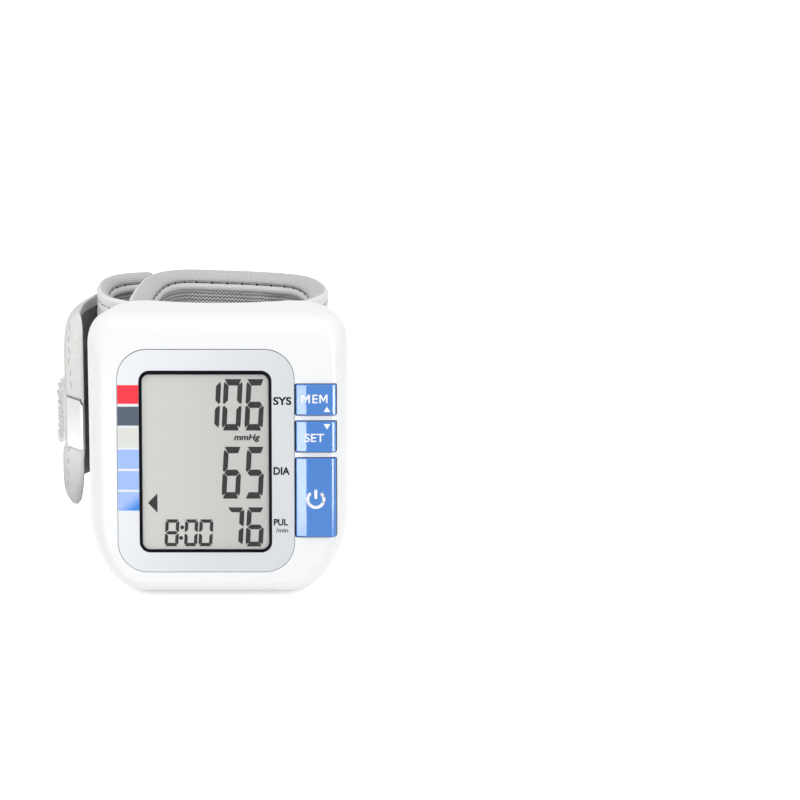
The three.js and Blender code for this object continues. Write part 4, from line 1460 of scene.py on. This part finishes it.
def swell(obj, held, reach):
    """Lets padded cloth swell and pucker by simulation, moving no further than reach.

    The cloth is a little larger than its place, held along its edges and blown out from behind.
    It is simulated at ten times its size, where the solver is at ease.
    """
    scene = bpy.context.scene
    enlarge = 10
    before = [vertex.co.copy() for vertex in obj.data.vertices]
    for vertex in obj.data.vertices:
        vertex.co *= enlarge
    group = obj.vertex_groups.new(name="held")
    group.add(held, 1.0, "REPLACE")
    cloth = obj.modifiers.new("swell", "CLOTH")
    cloth.settings.quality = 6
    cloth.settings.mass = 0.2
    cloth.settings.tension_stiffness = 12
    cloth.settings.compression_stiffness = 12
    cloth.settings.bending_stiffness = 0.3
    cloth.settings.vertex_group_mass = group.name
    cloth.settings.shrink_min = -0.025
    cloth.settings.use_pressure = True
    cloth.settings.uniform_pressure_force = 1.2
    cloth.settings.effector_weights.gravity = 0
    cloth.collision_settings.use_collision = False
    cloth.collision_settings.use_self_collision = False
    cloth.point_cache.frame_start = 1
    cloth.point_cache.frame_end = SWELL_FRAMES
    for number in range(1, SWELL_FRAMES + 1):
        scene.frame_set(number)
    graph = bpy.context.evaluated_depsgraph_get()
    after = [vertex.co / enlarge for vertex in obj.evaluated_get(graph).data.vertices]
    obj.modifiers.remove(cloth)
    obj.vertex_groups.remove(group)
    scene.frame_set(1)
    for vertex, start, end in zip(obj.data.vertices, before, after):
        move = end - start
        vertex.co = start + move / (1 + move.length / reach)
    obj.data.update()


def binding_section(half, top):
    """The rolled edge: a bead inside, a stitched groove, a knitted slope, a crest and a hem."""
    points = [(-half + 0.35 * MM, top - 5.1 * MM)]
    tilt = math.radians(18)
    bead = Vector((-half + 0.2 * MM, top - 3.95 * MM))
    for k in range(BEAD_STEPS + 1):
        angle = math.radians(275 - 170 * k / BEAD_STEPS)
        out = 0.85 * MM * math.cos(angle)
        up = 1.12 * MM * math.sin(angle)
        across = bead.x + out * math.cos(tilt) + up * math.sin(tilt)
        points.append((across, bead.y + up * math.cos(tilt) - out * math.sin(tilt)))
    points.append((-half - 0.05 * MM, top - 2.72 * MM))
    points.append((-half - 0.26 * MM, top - 2.5 * MM))
    crest = half - 0.7 * MM
    foot = -half - 0.3 * MM
    slope = 2.1 * MM
    fullness = 1.25
    for k in range(TOP_STEPS + 1):
        turn = math.pi / 2 * k / TOP_STEPS
        across = crest + (foot - crest) * max(math.cos(turn), 0) ** fullness
        points.append((across, top - slope + slope * math.sin(turn) ** fullness))
    for k in range(1, SHOULDER_STEPS + 1):
        turn = math.pi / 2 * k / SHOULDER_STEPS
        points.append((crest + 0.98 * MM * math.sin(turn), top - 0.9 * MM * (1 - math.cos(turn))))
    hem = ((0.16, 2.1), (0.1, 2.5), (-0.04, 2.62), (0.1, 2.8), (0.13, 4.2), (-0.3, 4.6))
    for out, down in in_metres(hem):
        points.append((half + out, top - down))
    return points


def make_binding(name, materials, upside, node):
    cuff = bpy.context.scene.monitor_cuff
    band = Ribbon(BAND_ROUTE)
    close = 1.6 * MM
    # The bead, the outer shoulder and the hem take the second material: the paler edge cloth,
    # which is painted light.
    outside = BEAD_STEPS + 4 + TOP_STEPS
    trim = [*range(BEAD_STEPS + 1), *range(outside, outside + 20)]

    def section(distance):
        end = min(distance, band.length - distance)
        ease = rounded(max(end, 0) / close)
        half = band_half(band, distance)
        top = rim(distance) if upside else cuff.height
        middle = top - 2.3 * MM
        draw = 0.25 + 0.75 * ease
        points = []
        for offset, height in binding_section(half, top):
            level = middle + (height - middle) * draw
            points.append((offset * draw, level if upside else cuff.height - level))
        return points

    bm = bmesh.new()
    ends = [0, 0.15 * MM, 0.5 * MM, MM]
    inner = stations(close, band.length - close, 0.9 * MM)
    distances = [*ends, *inner, *[band.length - end for end in reversed(ends)]]
    sweep(bm, band, distances, section, trim)
    obj = mount(make_object(name, bm, materials), "casing", "cuff_binding_knit", node)


def make_stitches(cuff):
    """Stitches in the grooves of both bindings, inside and outside, with painted shade where the
    needle went through.
    """
    band = Ribbon(BAND_ROUTE)
    thread = Finish("grey thread", cuff.thread_tone, 0.7, sheen_weight=0.2)
    thread.mottle(0.15, 900)
    # Painted shade: near-black tubes at the start of each stitch stand in for the shade in the
    # holes that the needle made.
    hole = Finish("needle hole shade", dimmed(cuff.thread_tone, 0.12), 0.9)
    hole.mottle(0.2, 900)
    bm = bmesh.new()
    holes = bmesh.new()
    margin = 3 * MM
    count = int((band.length - 2 * margin) / cuff.stitch_pitch)
    for upside in (True, False):
        for side, lift, prick in ((-1, 0.06, 0.34), (1, 0.02, 0.12)):
            for k in range(count):
                start = margin + k * cuff.stitch_pitch
                proud = band_half(band, start) + lift * MM
                height = rim(start) - STITCH_DROP if upside else STITCH_DROP
                points = []
                for step in range(5):
                    distance = start + cuff.stitch_length * step / 4
                    sink = 0.2 * MM * abs(step / 2 - 1) ** 3
                    points.append(band.side(distance, side * (proud - sink), height))
                tube(bm, points, 0.16 * MM)
                ends = (start - 0.6 * MM, start - 0.2 * MM, start + 0.2 * MM)
                needle = [band.side(end, side * (proud + 0.05 * MM), height) for end in ends]
                tube(holes, needle, prick * MM)
    for name, made, finish in (("cuff_stitches", bm, thread), ("cuff_needle_hole_shade", holes, hole)):
        obj = make_object(name, face_outwards(made), [finish.material])
        mount(obj, "casing", "cuff_binding_knit")


class MONITOR_OT_cuff(bpy.types.Operator):
    """Sews the padded cuff: cover, lining, bindings and stitches"""
    bl_idname = "monitor.cuff"
    bl_label = "Sew the Cuff"

    def execute(self, context):
        cuff = context.scene.monitor_cuff
        cover = plain_cloth("cuff cover cloth", cuff.cover_tone)
        lining = zigzag_mesh("cuff lining mesh", cuff.lining_tone, cuff.lining_dark)
        binding = knitted_binding("cuff edge knit", cuff.binding_tone)
        # Painted light: a paler copy of the cover cloth for the rolled edges, which lie in shade.
        rolled = plain_cloth("cuff edge cloth", cuff.lit_edge_tone)
        outside = make_panel("cuff_outer", cover, 1, "cuff_cloth", "cuff_cover", 0.45 * MM)
        inside = make_panel(
            "cuff_inner", lining, -1, "cuff_lining_mesh", "cuff_lining", 0.9 * MM
        )
        make_binding("cuff_edge_top", [binding, rolled], True, "cuff_binding_top")
        make_binding("cuff_edge_bottom", [binding, rolled], False, "cuff_binding_bottom")
        make_stitches(cuff)
        return {"FINISHED"}


# The strap, its ring and its tail

def strap_rows(half, low, high):
    """A flat strap's section with enough rows to bend, from its upper edge round to it again."""
    edge = 0.9 * MM
    points = []
    for k in range(9):
        angle = math.pi * k / 8
        points.append((half * math.cos(angle), high - edge + edge * math.sin(angle)))
    rows = 10
    for k in range(1, rows):
        points.append((-half, high - edge + (low - high + 2 * edge) * k / rows))
    for k in range(9):
        angle = math.pi + math.pi * k / 8
        points.append((half * math.cos(angle), low + edge + edge * math.sin(angle)))
    for k in range(1, rows):
        points.append((half, low + edge + (high - low - 2 * edge) * k / rows))
    return points


def make_strap(strap, material):
    """The strap runs round the ring and on into the tail."""
    lap = TAIL_ROUTE[:2]
    ribbon = Ribbon([*STRAP_ROUTE, *lap])
    covered = (Vector(lap[1]) - Vector(lap[0])).length * MM

    def section(distance):
        inside = clamp(1 - (ribbon.length - distance) / covered)
        return strap_rows(strap.half, strap.low + 2 * MM * inside, strap.high - 4 * MM * inside)

    bm = bmesh.new()
    sweep(bm, ribbon, stations(0, ribbon.length, 0.8 * MM), section)
    obj = make_object("closure_strap_cloth", bm, [material])
    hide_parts("closure_strap")
    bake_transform(obj)


def make_ring(strap):
    """The ring: round wire bent to a tall rectangle."""
    first, second = (Vector((*end, 0)) * MM for end in RING_ENDS)
    along = (second - first).normalized()
    width = (second - first).length
    lowest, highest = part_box("cinch_ring")
    low = lowest.z + strap.ring_bar / 2
    high = highest.z - strap.ring_bar / 2
    path = rounded_rectangle(0, low, width, high, 2.2 * MM, 8)
    points = [first + along * x + Vector((0, 0, z)) for x, z in path]
    across = along.cross(Vector((0, 0, 1)))
    rings = []
    for k, point in enumerate(points):
        ahead = (points[(k + 1) % len(points)] - points[k - 1]).normalized()
        rings.append(circle(point, across, ahead.cross(across), strap.ring_bar / 2, 14))
    steel = metal("ring steel", (0.72, 0.73, 0.75), 0.22)
    obj = make_object("ring_wire", skinned(rings, cyclic=True), [steel])
    mount(obj, "casing", "steel", "cinch_ring")


def make_tab(strap, material):
    ribbon = Ribbon(TAB_ROUTE)
    section = strap_rows(strap.tab_half, strap.low, strap.high)
    bm = bmesh.new()
    sweep(bm, ribbon, stations(0, ribbon.length, 0.7 * MM), lambda distance: section)
    obj = mount(make_object("ring_tab_cloth", bm, [material]), "casing", "cuff_cloth", "ring_tab")


def bulge(near, reach):
    """How full a padded edge is at a distance from it: a small round lip, then a slow rise."""
    rise = 1 - (1 - min(near / reach, 1)) ** 1.6
    return 0.25 * rounded(near / (0.8 * MM)) + 0.75 * rise


def pressed(height):
    """1 where the clip presses the tail flat, 0 clear of it."""
    low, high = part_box("tail_clip")
    fade = 1.5 * MM
    return clamp((min(height - low.z, high.z - height) + fade) / fade)


def clip_room(ribbon, distance):
    """How far the clip's plate stands off the tail's middle, or nothing behind the plate's end."""
    back, front = (Vector(end) * MM for end in CLIP_PLATE)
    along = (front - back).normalized()
    out = Vector((along.y, -along.x))
    place, heading = ribbon.at(distance)
    across = Vector((heading.y, -heading.x))
    if (place - back).dot(along) < -MM:
        return None
    return (back - place).dot(out) / across.dot(out)


def seam_back(height):
    """Distance of the wavy sewn line from the tail's tip."""
    wave = 0.3 * MM * math.sin(2 * math.pi * height / (4.8 * MM))
    return between_marks(TAIL_SEAM, height / MM) * MM + wave


def tail_edges(back):
    """The tail's lower and upper edge at a distance back from its tip."""
    return between_marks(TAIL_LOW, back / MM) * MM, between_marks(TAIL_HIGH, back / MM) * MM


def tail_faces(strap, ribbon, back, height):
    """How far the tail's inner and outer faces stand off its middle.

    The padding is a pillow whose upper edge leans to the inside.
    """
    low, high = tail_edges(back)
    distance = ribbon.length - back
    above = max(high - height, 0)
    below = max(height - low, 0)
    ahead = max(back, 0)
    ends = clamp(ahead / (10 * MM)) * clamp(distance / (8 * MM))
    lean_in = strap.tail_lean * ends * (1 - min(above / (6 * MM), 1)) ** 2
    lip = bulge(ahead, 4 * MM) * bulge(above, 3 * MM) * bulge(below, 3 * MM)
    inner = lean_in + strap.tail_inner * lip
    full = bulge(ahead, 8 * MM) * rounded(above / (12 * MM)) * rounded(below / (2.6 * MM))
    rise = clamp(distance / (9 * MM))
    depth = strap.tail_inner + (strap.tail_outer - strap.tail_inner) * rise
    outer = depth * full - lean_in * (1 - full)
    groove = math.exp(-((back - seam_back(height)) / GROOVE_WIDTH) ** 2)
    outer -= GROOVE_DEPTH * groove * full
    room = clip_room(ribbon, distance)
    if room is not None:
        most = room - strap.clip_sheet - 0.03 * MM
        outer += min(most - outer, 0) * pressed(height)
    foot = between_marks([(28, 1), (31.5, 0)], height / MM) * clamp(distance / (12 * MM))
    flare = strap.tail_flare * foot * (0.4 + 0.6 * clamp(ahead / (6 * MM)))
    return inner - flare, max(outer, -inner) + flare


def make_tail(strap):
    """The padded tail: two faces that meet in a rounded edge, with a sewn line outside."""
    ribbon = Ribbon(TAIL_ROUTE)
    end = ribbon.length
    rows = 130
    tip = [end - back * MM for back in (0, 0.08, 0.25, 0.5, 0.8, 1.2, 1.7, 2.2)]
    rest = stations(end - 2.6 * MM, 0, 0.45 * MM)
    reach = strap.tail_inner
    fold = [-share * reach for share in (0.3, 0.6, 0.8, 0.93, 1.0)]
    distances = [*tip, *rest, *fold]
    bm = bmesh.new()
    layer = bm.loops.layers.uv.verify()
    grids = {1: [], -1: []}
    places = []
    edges = []
    for distance in distances:
        back = end - distance
        low, high = tail_edges(back)
        thin = 1.0
        if distance < 0:
            thin = math.sqrt(max(0, 1 - (distance / reach) ** 2))
        columns = {1: [], -1: []}
        places.append([])
        edges.append([])
        for k in range(rows + 1):
            share = k / rows
            bent = 0.5 - 0.5 * math.cos(math.pi * share)
            height = low + (high - low) * (0.5 * share + 0.5 * bent)
            inner, outer = tail_faces(strap, ribbon, back, height)
            columns[1].append(bm.verts.new(ribbon.side(distance, inner * thin, height)))
            columns[-1].append(bm.verts.new(ribbon.side(distance, -outer * thin, height)))
            places[-1].append((distance, height))
            edges[-1].append(min(back, 4 * (height - low), 0.4 * (high - height)))
        for side, column in columns.items():
            grids[side].append(column)
    for side, columns in grids.items():
        for i in range(len(columns) - 1):
            for k in range(rows):
                corners = [(i, k), (i, k + 1), (i + 1, k + 1), (i + 1, k)]
                face = bm.faces.new([columns[a][b] for a, b in corners])
                near = max(edges[a][b] for a, b in corners)
                face.material_index = 1 if side > 0 and near > 1.3 * MM else 0
                for loop, (a, b) in zip(face.loops, corners):
                    loop[layer].uv = places[a][b]
    close_up(bm, 0.004 * MM)
    obj = make_object("padded_tail", bm, [
        tail_cloth(strap, end), brushed_underside("strap underside", strap.shade_tone),
    ])
    mount(obj, "strap_tail", "cuff_cloth", "strap_tail")
    return ribbon


def tail_cloth(strap, end):
    """The tail's outside: smooth cloth with a slanting band of fine ribs near its front edge, with
    painted shade further back and towards its foot.
    """
    finish = Finish("tail cloth", strap.cloth_tone, 0.85, sheen_weight=0.25, sheen_roughness=0.4)
    along, up, _ = finish.axes(finish.cloth_place())
    ribs = finish.ribs(up, 0.00062)
    slant = finish.maths("ADD", along, finish.maths("MULTIPLY", up, -0.2))
    middle = end - 1.6 * MM - 0.2 * 60 * MM
    aside = finish.maths("ABSOLUTE", finish.maths("SUBTRACT", slant, middle))
    band = finish.maths("SUBTRACT", 1.0, finish.step(aside, 0.7 * MM, 1.3 * MM))
    weave = finish.maths("MULTIPLY", finish.ribs(along, 0.0005), finish.ribs(up, 0.0005))
    height = finish.maths(
        "ADD", finish.maths("MULTIPLY", ribs, band), finish.maths("MULTIPLY", weave, 0.25)
    )
    patches = finish.spread(finish.noise(160), 0.0, 0.3)
    share = finish.step(finish.maths("ADD", height, patches), 0, 0.6)
    cloth = finish.mix(share, dimmed(finish.tone, 0.9), finish.tone)
    # Painted shade: the cloth darkens to 88 % more than 6.2 mm back from the tip, and to 74 %
    # below 18 mm, fading out by 31 mm.
    behind = finish.spread(finish.step(along, end - 6.2 * MM, end - 5.4 * MM), 0.88, 1.0)
    foot = finish.spread(finish.step(up, 18 * MM, 31 * MM), 0.74, 1.0)
    finish.paint(finish.multiply(cloth, finish.maths("MULTIPLY", behind, foot)))
    finish.bump(height, 0.00009)
    return finish.material


def brushed_underside(name, tone):
    """Dark brushed loop cloth, with a paler hem along its upper edge."""
    finish = Finish(name, tone, 0.95, sheen_weight=0.35, sheen_roughness=0.5)
    _, up, _ = finish.axes(finish.cloth_place())
    dark = finish.mix(finish.noise(420), dimmed(finish.tone, 0.75), finish.tone)
    hem = dimmed(finish.tone, 0.85)
    finish.paint(finish.mix(finish.step(up, 63.2 * MM, 63.4 * MM), dark, hem))
    finish.bump(finish.noise(1800, 4), 0.00025)
    return finish.material


def make_tail_stitches(ribbon, strap):
    """The wavy sewn line down the tail's outside, above and below the clip."""
    thread = Finish("pale thread", dimmed(strap.cloth_tone, 0.5), 0.75)
    thread.mottle(0.1, 900)
    end = ribbon.length
    bm = bmesh.new()
    pitch = 3.0 * MM
    for height, last in in_metres(TAIL_SEWN):
        while height < last:
            points = []
            for step in range(5):
                z = height + 0.8 * pitch * step / 4
                back = seam_back(z)
                _, outer = tail_faces(strap, ribbon, back, z)
                sink = 0.16 * MM * abs(step / 2 - 1) ** 3
                points.append(ribbon.side(end - back, -outer - 0.04 * MM + sink, z))
            tube(bm, points, 0.14 * MM)
            height += pitch
    obj = make_object("tail_stitches", face_outwards(bm), [thread.material])
    mount(obj, "strap_tail", "cuff_cloth")


def make_clip(strap):
    """The pressed clip: a bright flat plate that curls round the tail's front edge.

    Its upper edge is bevelled and dips where the sheet bends. Bands of that edge and the lower
    face are painted shadow.
    """
    low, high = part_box("tail_clip")
    back, front = (Vector((*end, 0)) * MM for end in CLIP_PLATE)
    sheet = strap.clip_sheet
    along = (front - back).normalized()
    inward = Vector((-along.y, along.x, 0))
    start = back + inward * sheet / 2
    stop = front + inward * sheet / 2
    line = [(start.lerp(stop, share), 0.0) for share in (0, 0.25, 0.5, 0.75, 0.95, 1)]
    radius = 0.5 * MM
    centre = stop + inward * radius
    turns = 16
    for k in range(1, turns + 1):
        angle = math.radians(-90 + 205 * k / turns)
        dip = math.sin(math.pi * min(k / (0.75 * turns), 1))
        line.append((centre + (along * math.cos(angle) + inward * math.sin(angle)) * radius, dip))
    middle = [point for point, _ in line]
    dips = [dip for _, dip in line]
    last = len(middle) - 1
    inner = []
    outer = []
    for k, point in enumerate(middle):
        ahead = (middle[min(k + 1, last)] - middle[max(k - 1, 0)]).normalized()
        across = Vector((-ahead.y, ahead.x, 0)) * sheet / 2
        inner.append(point + across)
        outer.append(point - across)
    bevel = 0.5 * MM
    proud = 0.3 * MM
    # Each row: where it lies between the outer and the inner face, its end, and its height from it
    rows = [
        (0, low.z, 0), (0, high.z, proud - bevel), (0.36, high.z, proud - 0.62 * bevel),
        (0.56, high.z, proud - 0.44 * bevel), (1, high.z, proud), (1, low.z, 0),
    ]
    bm = bmesh.new()
    grid = []
    for share, edge, lift in rows:
        row = []
        for k in range(last + 1):
            point = outer[k].lerp(inner[k], share)
            dip = -1.2 * MM * dips[k] if edge == high.z else 0.25 * MM * dips[k]
            row.append(bm.verts.new((point.x, point.y, edge + lift + dip)))
        grid.append(row)
    # Painted shadow: these rows take a near-black copy of the clip's metal for the shaded gap
    # behind the plate and the shade under it.
    dark_rows = (1, 3, 5)
    for i in range(len(grid)):
        first = grid[i]
        second = grid[(i + 1) % len(grid)]
        for k in range(last):
            face = bm.faces.new((first[k], first[k + 1], second[k + 1], second[k]))
            face.material_index = 1 if i in dark_rows else 0
    for k in (0, last):
        bm.faces.new([row[k] for row in grid])
    bright = metal("bright clip sheet", strap.clip_tone, 0.34)
    # Painted shadow: the clip's metal, nearly black.
    edge = metal("painted clip shadow", dimmed(strap.clip_tone, 0.035), 0.5)
    obj = make_object("bright_clip", close_up(bm), [bright, edge])
    mount(obj, "strap_tail", "clip_steel", "tail_clip")


def make_hook_patch(ribbon, strap):
    """Fuzzy tape on the tail: a woven base and a crowd of looped fibres."""
    patch_low, patch_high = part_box("hook_patch")
    low = patch_low.z + 0.9 * MM
    top = patch_high.z + 0.8 * MM
    end = ribbon.length
    start = end - TAPE_BACK
    stop = end - TAPE_FRONT
    base = strap.tail_outer + 0.02 * MM
    thick = 0.4 * MM
    fuzz = Finish("fuzzy tape", strap.fuzz_tone, 0.9, sheen_weight=0.8, sheen_roughness=0.5)
    fuzz.mottle(0.08, 800)
    bm = bmesh.new()
    points = rounded_rectangle(-base - thick, low, -base, top, 0.19 * MM, 3)
    sweep(bm, ribbon, stations(start, stop, 0.9 * MM), lambda distance: points)
    tape = make_object("hook_tape", bm, [fuzz.material])
    mount(tape, "strap_tail", "hook_tape", "hook_patch")
    chance = random.Random(FIBRE_SEED)
    bm = bmesh.new()
    for _ in range(strap.fibres):
        distance = chance.uniform(start + 0.3 * MM, stop - 0.3 * MM)
        height = chance.uniform(low - 0.3 * MM, top + 0.3 * MM)
        foot = ribbon.side(distance, -base - thick + 0.1 * MM, height)
        out = (ribbon.side(distance, -base - MM, height) - foot).normalized()
        over = Vector([chance.uniform(-1, 1) for _ in range(3)])
        over = (over - out * over.dot(out)).normalized()
        rise = chance.uniform(0.8, 1.9) * MM
        span = chance.uniform(0.5, 1.3) * MM
        curl = chance.uniform(2.4, 3.4)
        spine = []
        for step in range(8):
            angle = curl * step / 7
            aside = over * span * (1 - math.cos(angle)) / 2
            spine.append(foot + aside + out * rise * math.sin(angle))
        tube(bm, spine, 0.075 * MM, sides=4)
    fibres = make_object("hook_fibres", face_outwards(bm), [fuzz.material])
    mount(fibres, "strap_tail", "hook_tape")


class MONITOR_OT_strap(bpy.types.Operator):
    """Sews the closure strap and its tab, and bends the steel ring"""
    bl_idname = "monitor.strap"
    bl_label = "Sew the Strap"

    def execute(self, context):
        strap = context.scene.monitor_strap
        cloth = plain_cloth("strap cloth", strap.cloth_tone, 0.00052, 0.00009)
        make_ring(strap)
        make_strap(strap, cloth)
        make_tab(strap, cloth)
        return {"FINISHED"}


class MONITOR_OT_tail(bpy.types.Operator):
    """Pads the strap's tail and fits its clip and hook tape"""
    bl_idname = "monitor.tail"
    bl_label = "Finish the Tail"

    def execute(self, context):
        strap = context.scene.monitor_strap
        ribbon = make_tail(strap)
        make_tail_stitches(ribbon, strap)
        make_clip(strap)
        make_hook_patch(ribbon, strap)
        return {"FINISHED"}


# What lies inside

def dress(node, material):
    """Gives a CAD node a better material."""
    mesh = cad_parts[node].data
    mesh.materials.clear()
    mesh.materials.append(material)


def circuit_board():
    """Green solder mask with fine copper tracks under it."""
    finish = Finish("solder mask", linear_colour(38, 104, 68), 0.35)
    inputs = {"Vector": finish.here(), "Scale": 420.0}
    cells = finish.add("ShaderNodeTexVoronoi", inputs, feature="DISTANCE_TO_EDGE")
    tracks = finish.step(cells.outputs[0], 0.05, 0.1)
    finish.paint(finish.mix(tracks, linear_colour(72, 146, 92), finish.tone))
    finish.bump(tracks, 0.00003)
    return finish.material


def cell_sleeve():
    """A battery's printed sleeve, with a band at one end."""
    finish = Finish("battery sleeve", linear_colour(46, 108, 142), 0.3, metallic=0.4)
    _, _, up = finish.axes(finish.here())
    band = finish.step(up, 0.046, 0.0465)
    finish.paint(finish.mix(band, finish.tone, linear_colour(196, 160, 92)))
    finish.wear(0.25, 0.38, 200)
    return finish.material


def rubber(name, tone):
    finish = Finish(name, tone, 0.55)
    finish.mottle(0.06, 200)
    finish.bump(finish.noise(1400), 0.00003)
    return finish.material


INSIDE = {
    "black moulding": (
        "zebra_connector", "memory_switch", "set_switch", "power_switch", "buzzer",
        "pressure_sensor",
    ),
    "bright steel": (
        "case_screw_1", "case_screw_2", "case_screw_3", "case_screw_4", "pump_motor",
        "release_valve",
    ),
    "contact brass": (
        "battery_bridge_contact", "battery_positive_contact", "battery_negative_contact",
        "valve_plunger",
    ),
    "natural nylon": (
        "lcd_tray", "pump_head", "pump_crank", "air_manifold", "cuff_mount_plate",
        "cuff_stiffener",
    ),
    "clear silicone": ("air_tube_pump", "air_tube_valve", "air_nipple", "cuff_bladder"),
    "solder mask": ("main_board",),
    "battery sleeve": ("battery_cell_1", "battery_cell_2"),
}


class MONITOR_OT_inside(bpy.types.Operator):
    """Dresses the electronics, the batteries and the air system inside the casing"""
    bl_idname = "monitor.inside"
    bl_label = "Dress the Inside"

    def execute(self, context):
        finishes = {
            "black moulding": moulded("black moulding", linear_colour(34, 35, 38), 0.45, 0.00001),
            "bright steel": metal("bright steel", (0.7, 0.71, 0.73), 0.3),
            "contact brass": metal("contact brass", linear_colour(206, 172, 104), 0.28),
            "natural nylon": moulded("natural nylon", linear_colour(232, 229, 219), 0.5, 0.00001),
            "clear silicone": rubber("clear silicone", linear_colour(222, 227, 226)),
            "solder mask": circuit_board(),
            "battery sleeve": cell_sleeve(),
        }
        for name, nodes in INSIDE.items():
            for node in nodes:
                dress(node, finishes[name])
        return {"FINISHED"}


# The stage

def place_camera(stage):
    data = bpy.data.cameras.new("camera")
    data.lens = stage.lens
    data.sensor_width = 36
    data.dof.use_dof = False
    data.clip_start = 0.01
    data.clip_end = 100
    camera = bpy.data.objects.new("camera", data)
    camera.location = stage.camera
    camera.rotation_euler = (math.pi / 2 - stage.pitch, 0, 0)
    bpy.context.scene.collection.objects.link(camera)
    bpy.context.scene.camera = camera


def lay_floor(stage):
    """A plain pale floor that keeps the object's shadow."""
    bm = bmesh.new()
    bmesh.ops.create_grid(bm, x_segments=1, y_segments=1, size=6)
    finish = Finish("pale floor", stage.floor_tone, 0.9, specular_ior_level=0.0)
    strength = finish.maths("MULTIPLY", finish.seen(), stage.floor_lift)
    glow = finish.add("ShaderNodeEmission", {"Color": (1, 1, 1, 1), "Strength": strength})
    both = finish.add("ShaderNodeAddShader", {0: finish.shader.outputs[0], 1: glow.outputs[0]})
    finish.links.new(both.outputs[0], finish.nodes["Material Output"].inputs["Surface"])
    floor = make_object("floor", bm, [finish.material])
    floor.location.z = -0.02 * MM


def paint_world(stage):
    """White to the camera, softer as light."""
    world = bpy.data.worlds.new("studio")
    world.use_nodes = True
    tree = Nodes(world.node_tree)
    background = tree.nodes["Background"].inputs
    background["Color"].default_value = (1, 1, 1, 1)
    inputs = {"Value": tree.seen(), "To Min": stage.sky, "To Max": 1.0}
    tree.links.new(tree.add("ShaderNodeMapRange", inputs).outputs[0], background["Strength"])
    bpy.context.scene.world = world


def hang_softbox(name, place, target, size, power, gloss_only=False):
    data = bpy.data.lights.new(name, "AREA")
    data.shape = "RECTANGLE"
    data.size, data.size_y = size
    data.energy = power
    lamp = bpy.data.objects.new(name, data)
    lamp.location = place
    lamp.rotation_euler = (Vector(target) - Vector(place)).to_track_quat("-Z", "Y").to_euler()
    if gloss_only:
        lamp.visible_diffuse = False
        lamp.visible_camera = False
    bpy.context.scene.collection.objects.link(lamp)


class MONITOR_OT_stage(bpy.types.Operator):
    """Sets up the camera, the pale floor and the soft studio light"""
    bl_idname = "monitor.stage"
    bl_label = "Set the Stage"

    def execute(self, context):
        stage = context.scene.monitor_stage
        context.scene.view_settings.view_transform = "Standard"
        place_camera(stage)
        lay_floor(stage)
        paint_world(stage)
        middle = (0, 0, 0.036)
        hang_softbox("left softbox", (-0.6, -0.25, 0.2), middle, (0.3, 0.5), stage.left)
        hang_softbox("front softbox", (-0.1, -0.75, 0.2), middle, (0.5, 0.3), stage.front)
        hang_softbox("right strip", (0.5, -0.42, 0.15), middle, (0.1, 0.5), stage.fill)
        hang_softbox("top softbox", (0.0, -0.22, 0.66), middle, (0.6, 0.4), stage.top)
        keys = (0.025, -0.018, 0.03)
        left = (-0.0655, -0.206, 0.029)
        right = (0.197, -0.126, 0.02)
        hang_softbox("left card", left, keys, (0.034, 0.056), stage.gloss, gloss_only=True)
        hang_softbox("right card", right, keys, (0.07, 0.056), 2.6 * stage.gloss, gloss_only=True)
        return {"FINISHED"}


class MONITOR_PT_build(bpy.types.Panel):
    """The monitor's build steps and settings"""
    bl_label = "Wrist Monitor"
    bl_idname = "MONITOR_PT_build"
    bl_space_type = "VIEW_3D"
    bl_region_type = "UI"
    bl_category = "Monitor"

    def draw(self, context):
        for operator in OPERATORS:
            self.layout.operator(operator.bl_idname)
        for name in SETTINGS:
            group = getattr(context.scene, name)
            box = self.layout.box()
            for field in group.bl_rna.properties:
                if not field.is_readonly and field.identifier != "name":
                    box.prop(group, field.identifier)


SETTINGS = {
    "monitor_casing": CasingSettings,
    "monitor_display": DisplaySettings,
    "monitor_keys": KeySettings,
    "monitor_cuff": CuffSettings,
    "monitor_strap": StrapSettings,
    "monitor_stage": StageSettings,
}
OPERATORS = [
    MONITOR_OT_stage, MONITOR_OT_casing, MONITOR_OT_display, MONITOR_OT_keys, MONITOR_OT_cuff,
    MONITOR_OT_strap, MONITOR_OT_tail, MONITOR_OT_inside,
]


def register():
    for cls in (*SETTINGS.values(), *OPERATORS, MONITOR_PT_build):
        bpy.utils.register_class(cls)
    for name, group in SETTINGS.items():
        setattr(bpy.types.Scene, name, PointerProperty(type=group))


def unregister():
    for name in SETTINGS:
        delattr(bpy.types.Scene, name)
    for cls in (MONITOR_PT_build, *reversed(OPERATORS), *reversed(SETTINGS.values())):
        bpy.utils.unregister_class(cls)


def main():
    register()
    bpy.ops.monitor.stage()
    bpy.ops.monitor.casing()
    bpy.ops.monitor.display()
    bpy.ops.monitor.keys()
    bpy.ops.monitor.cuff()
    bpy.ops.monitor.strap()
    bpy.ops.monitor.tail()
    bpy.ops.monitor.inside()


if __name__ == "__main__":
    main()
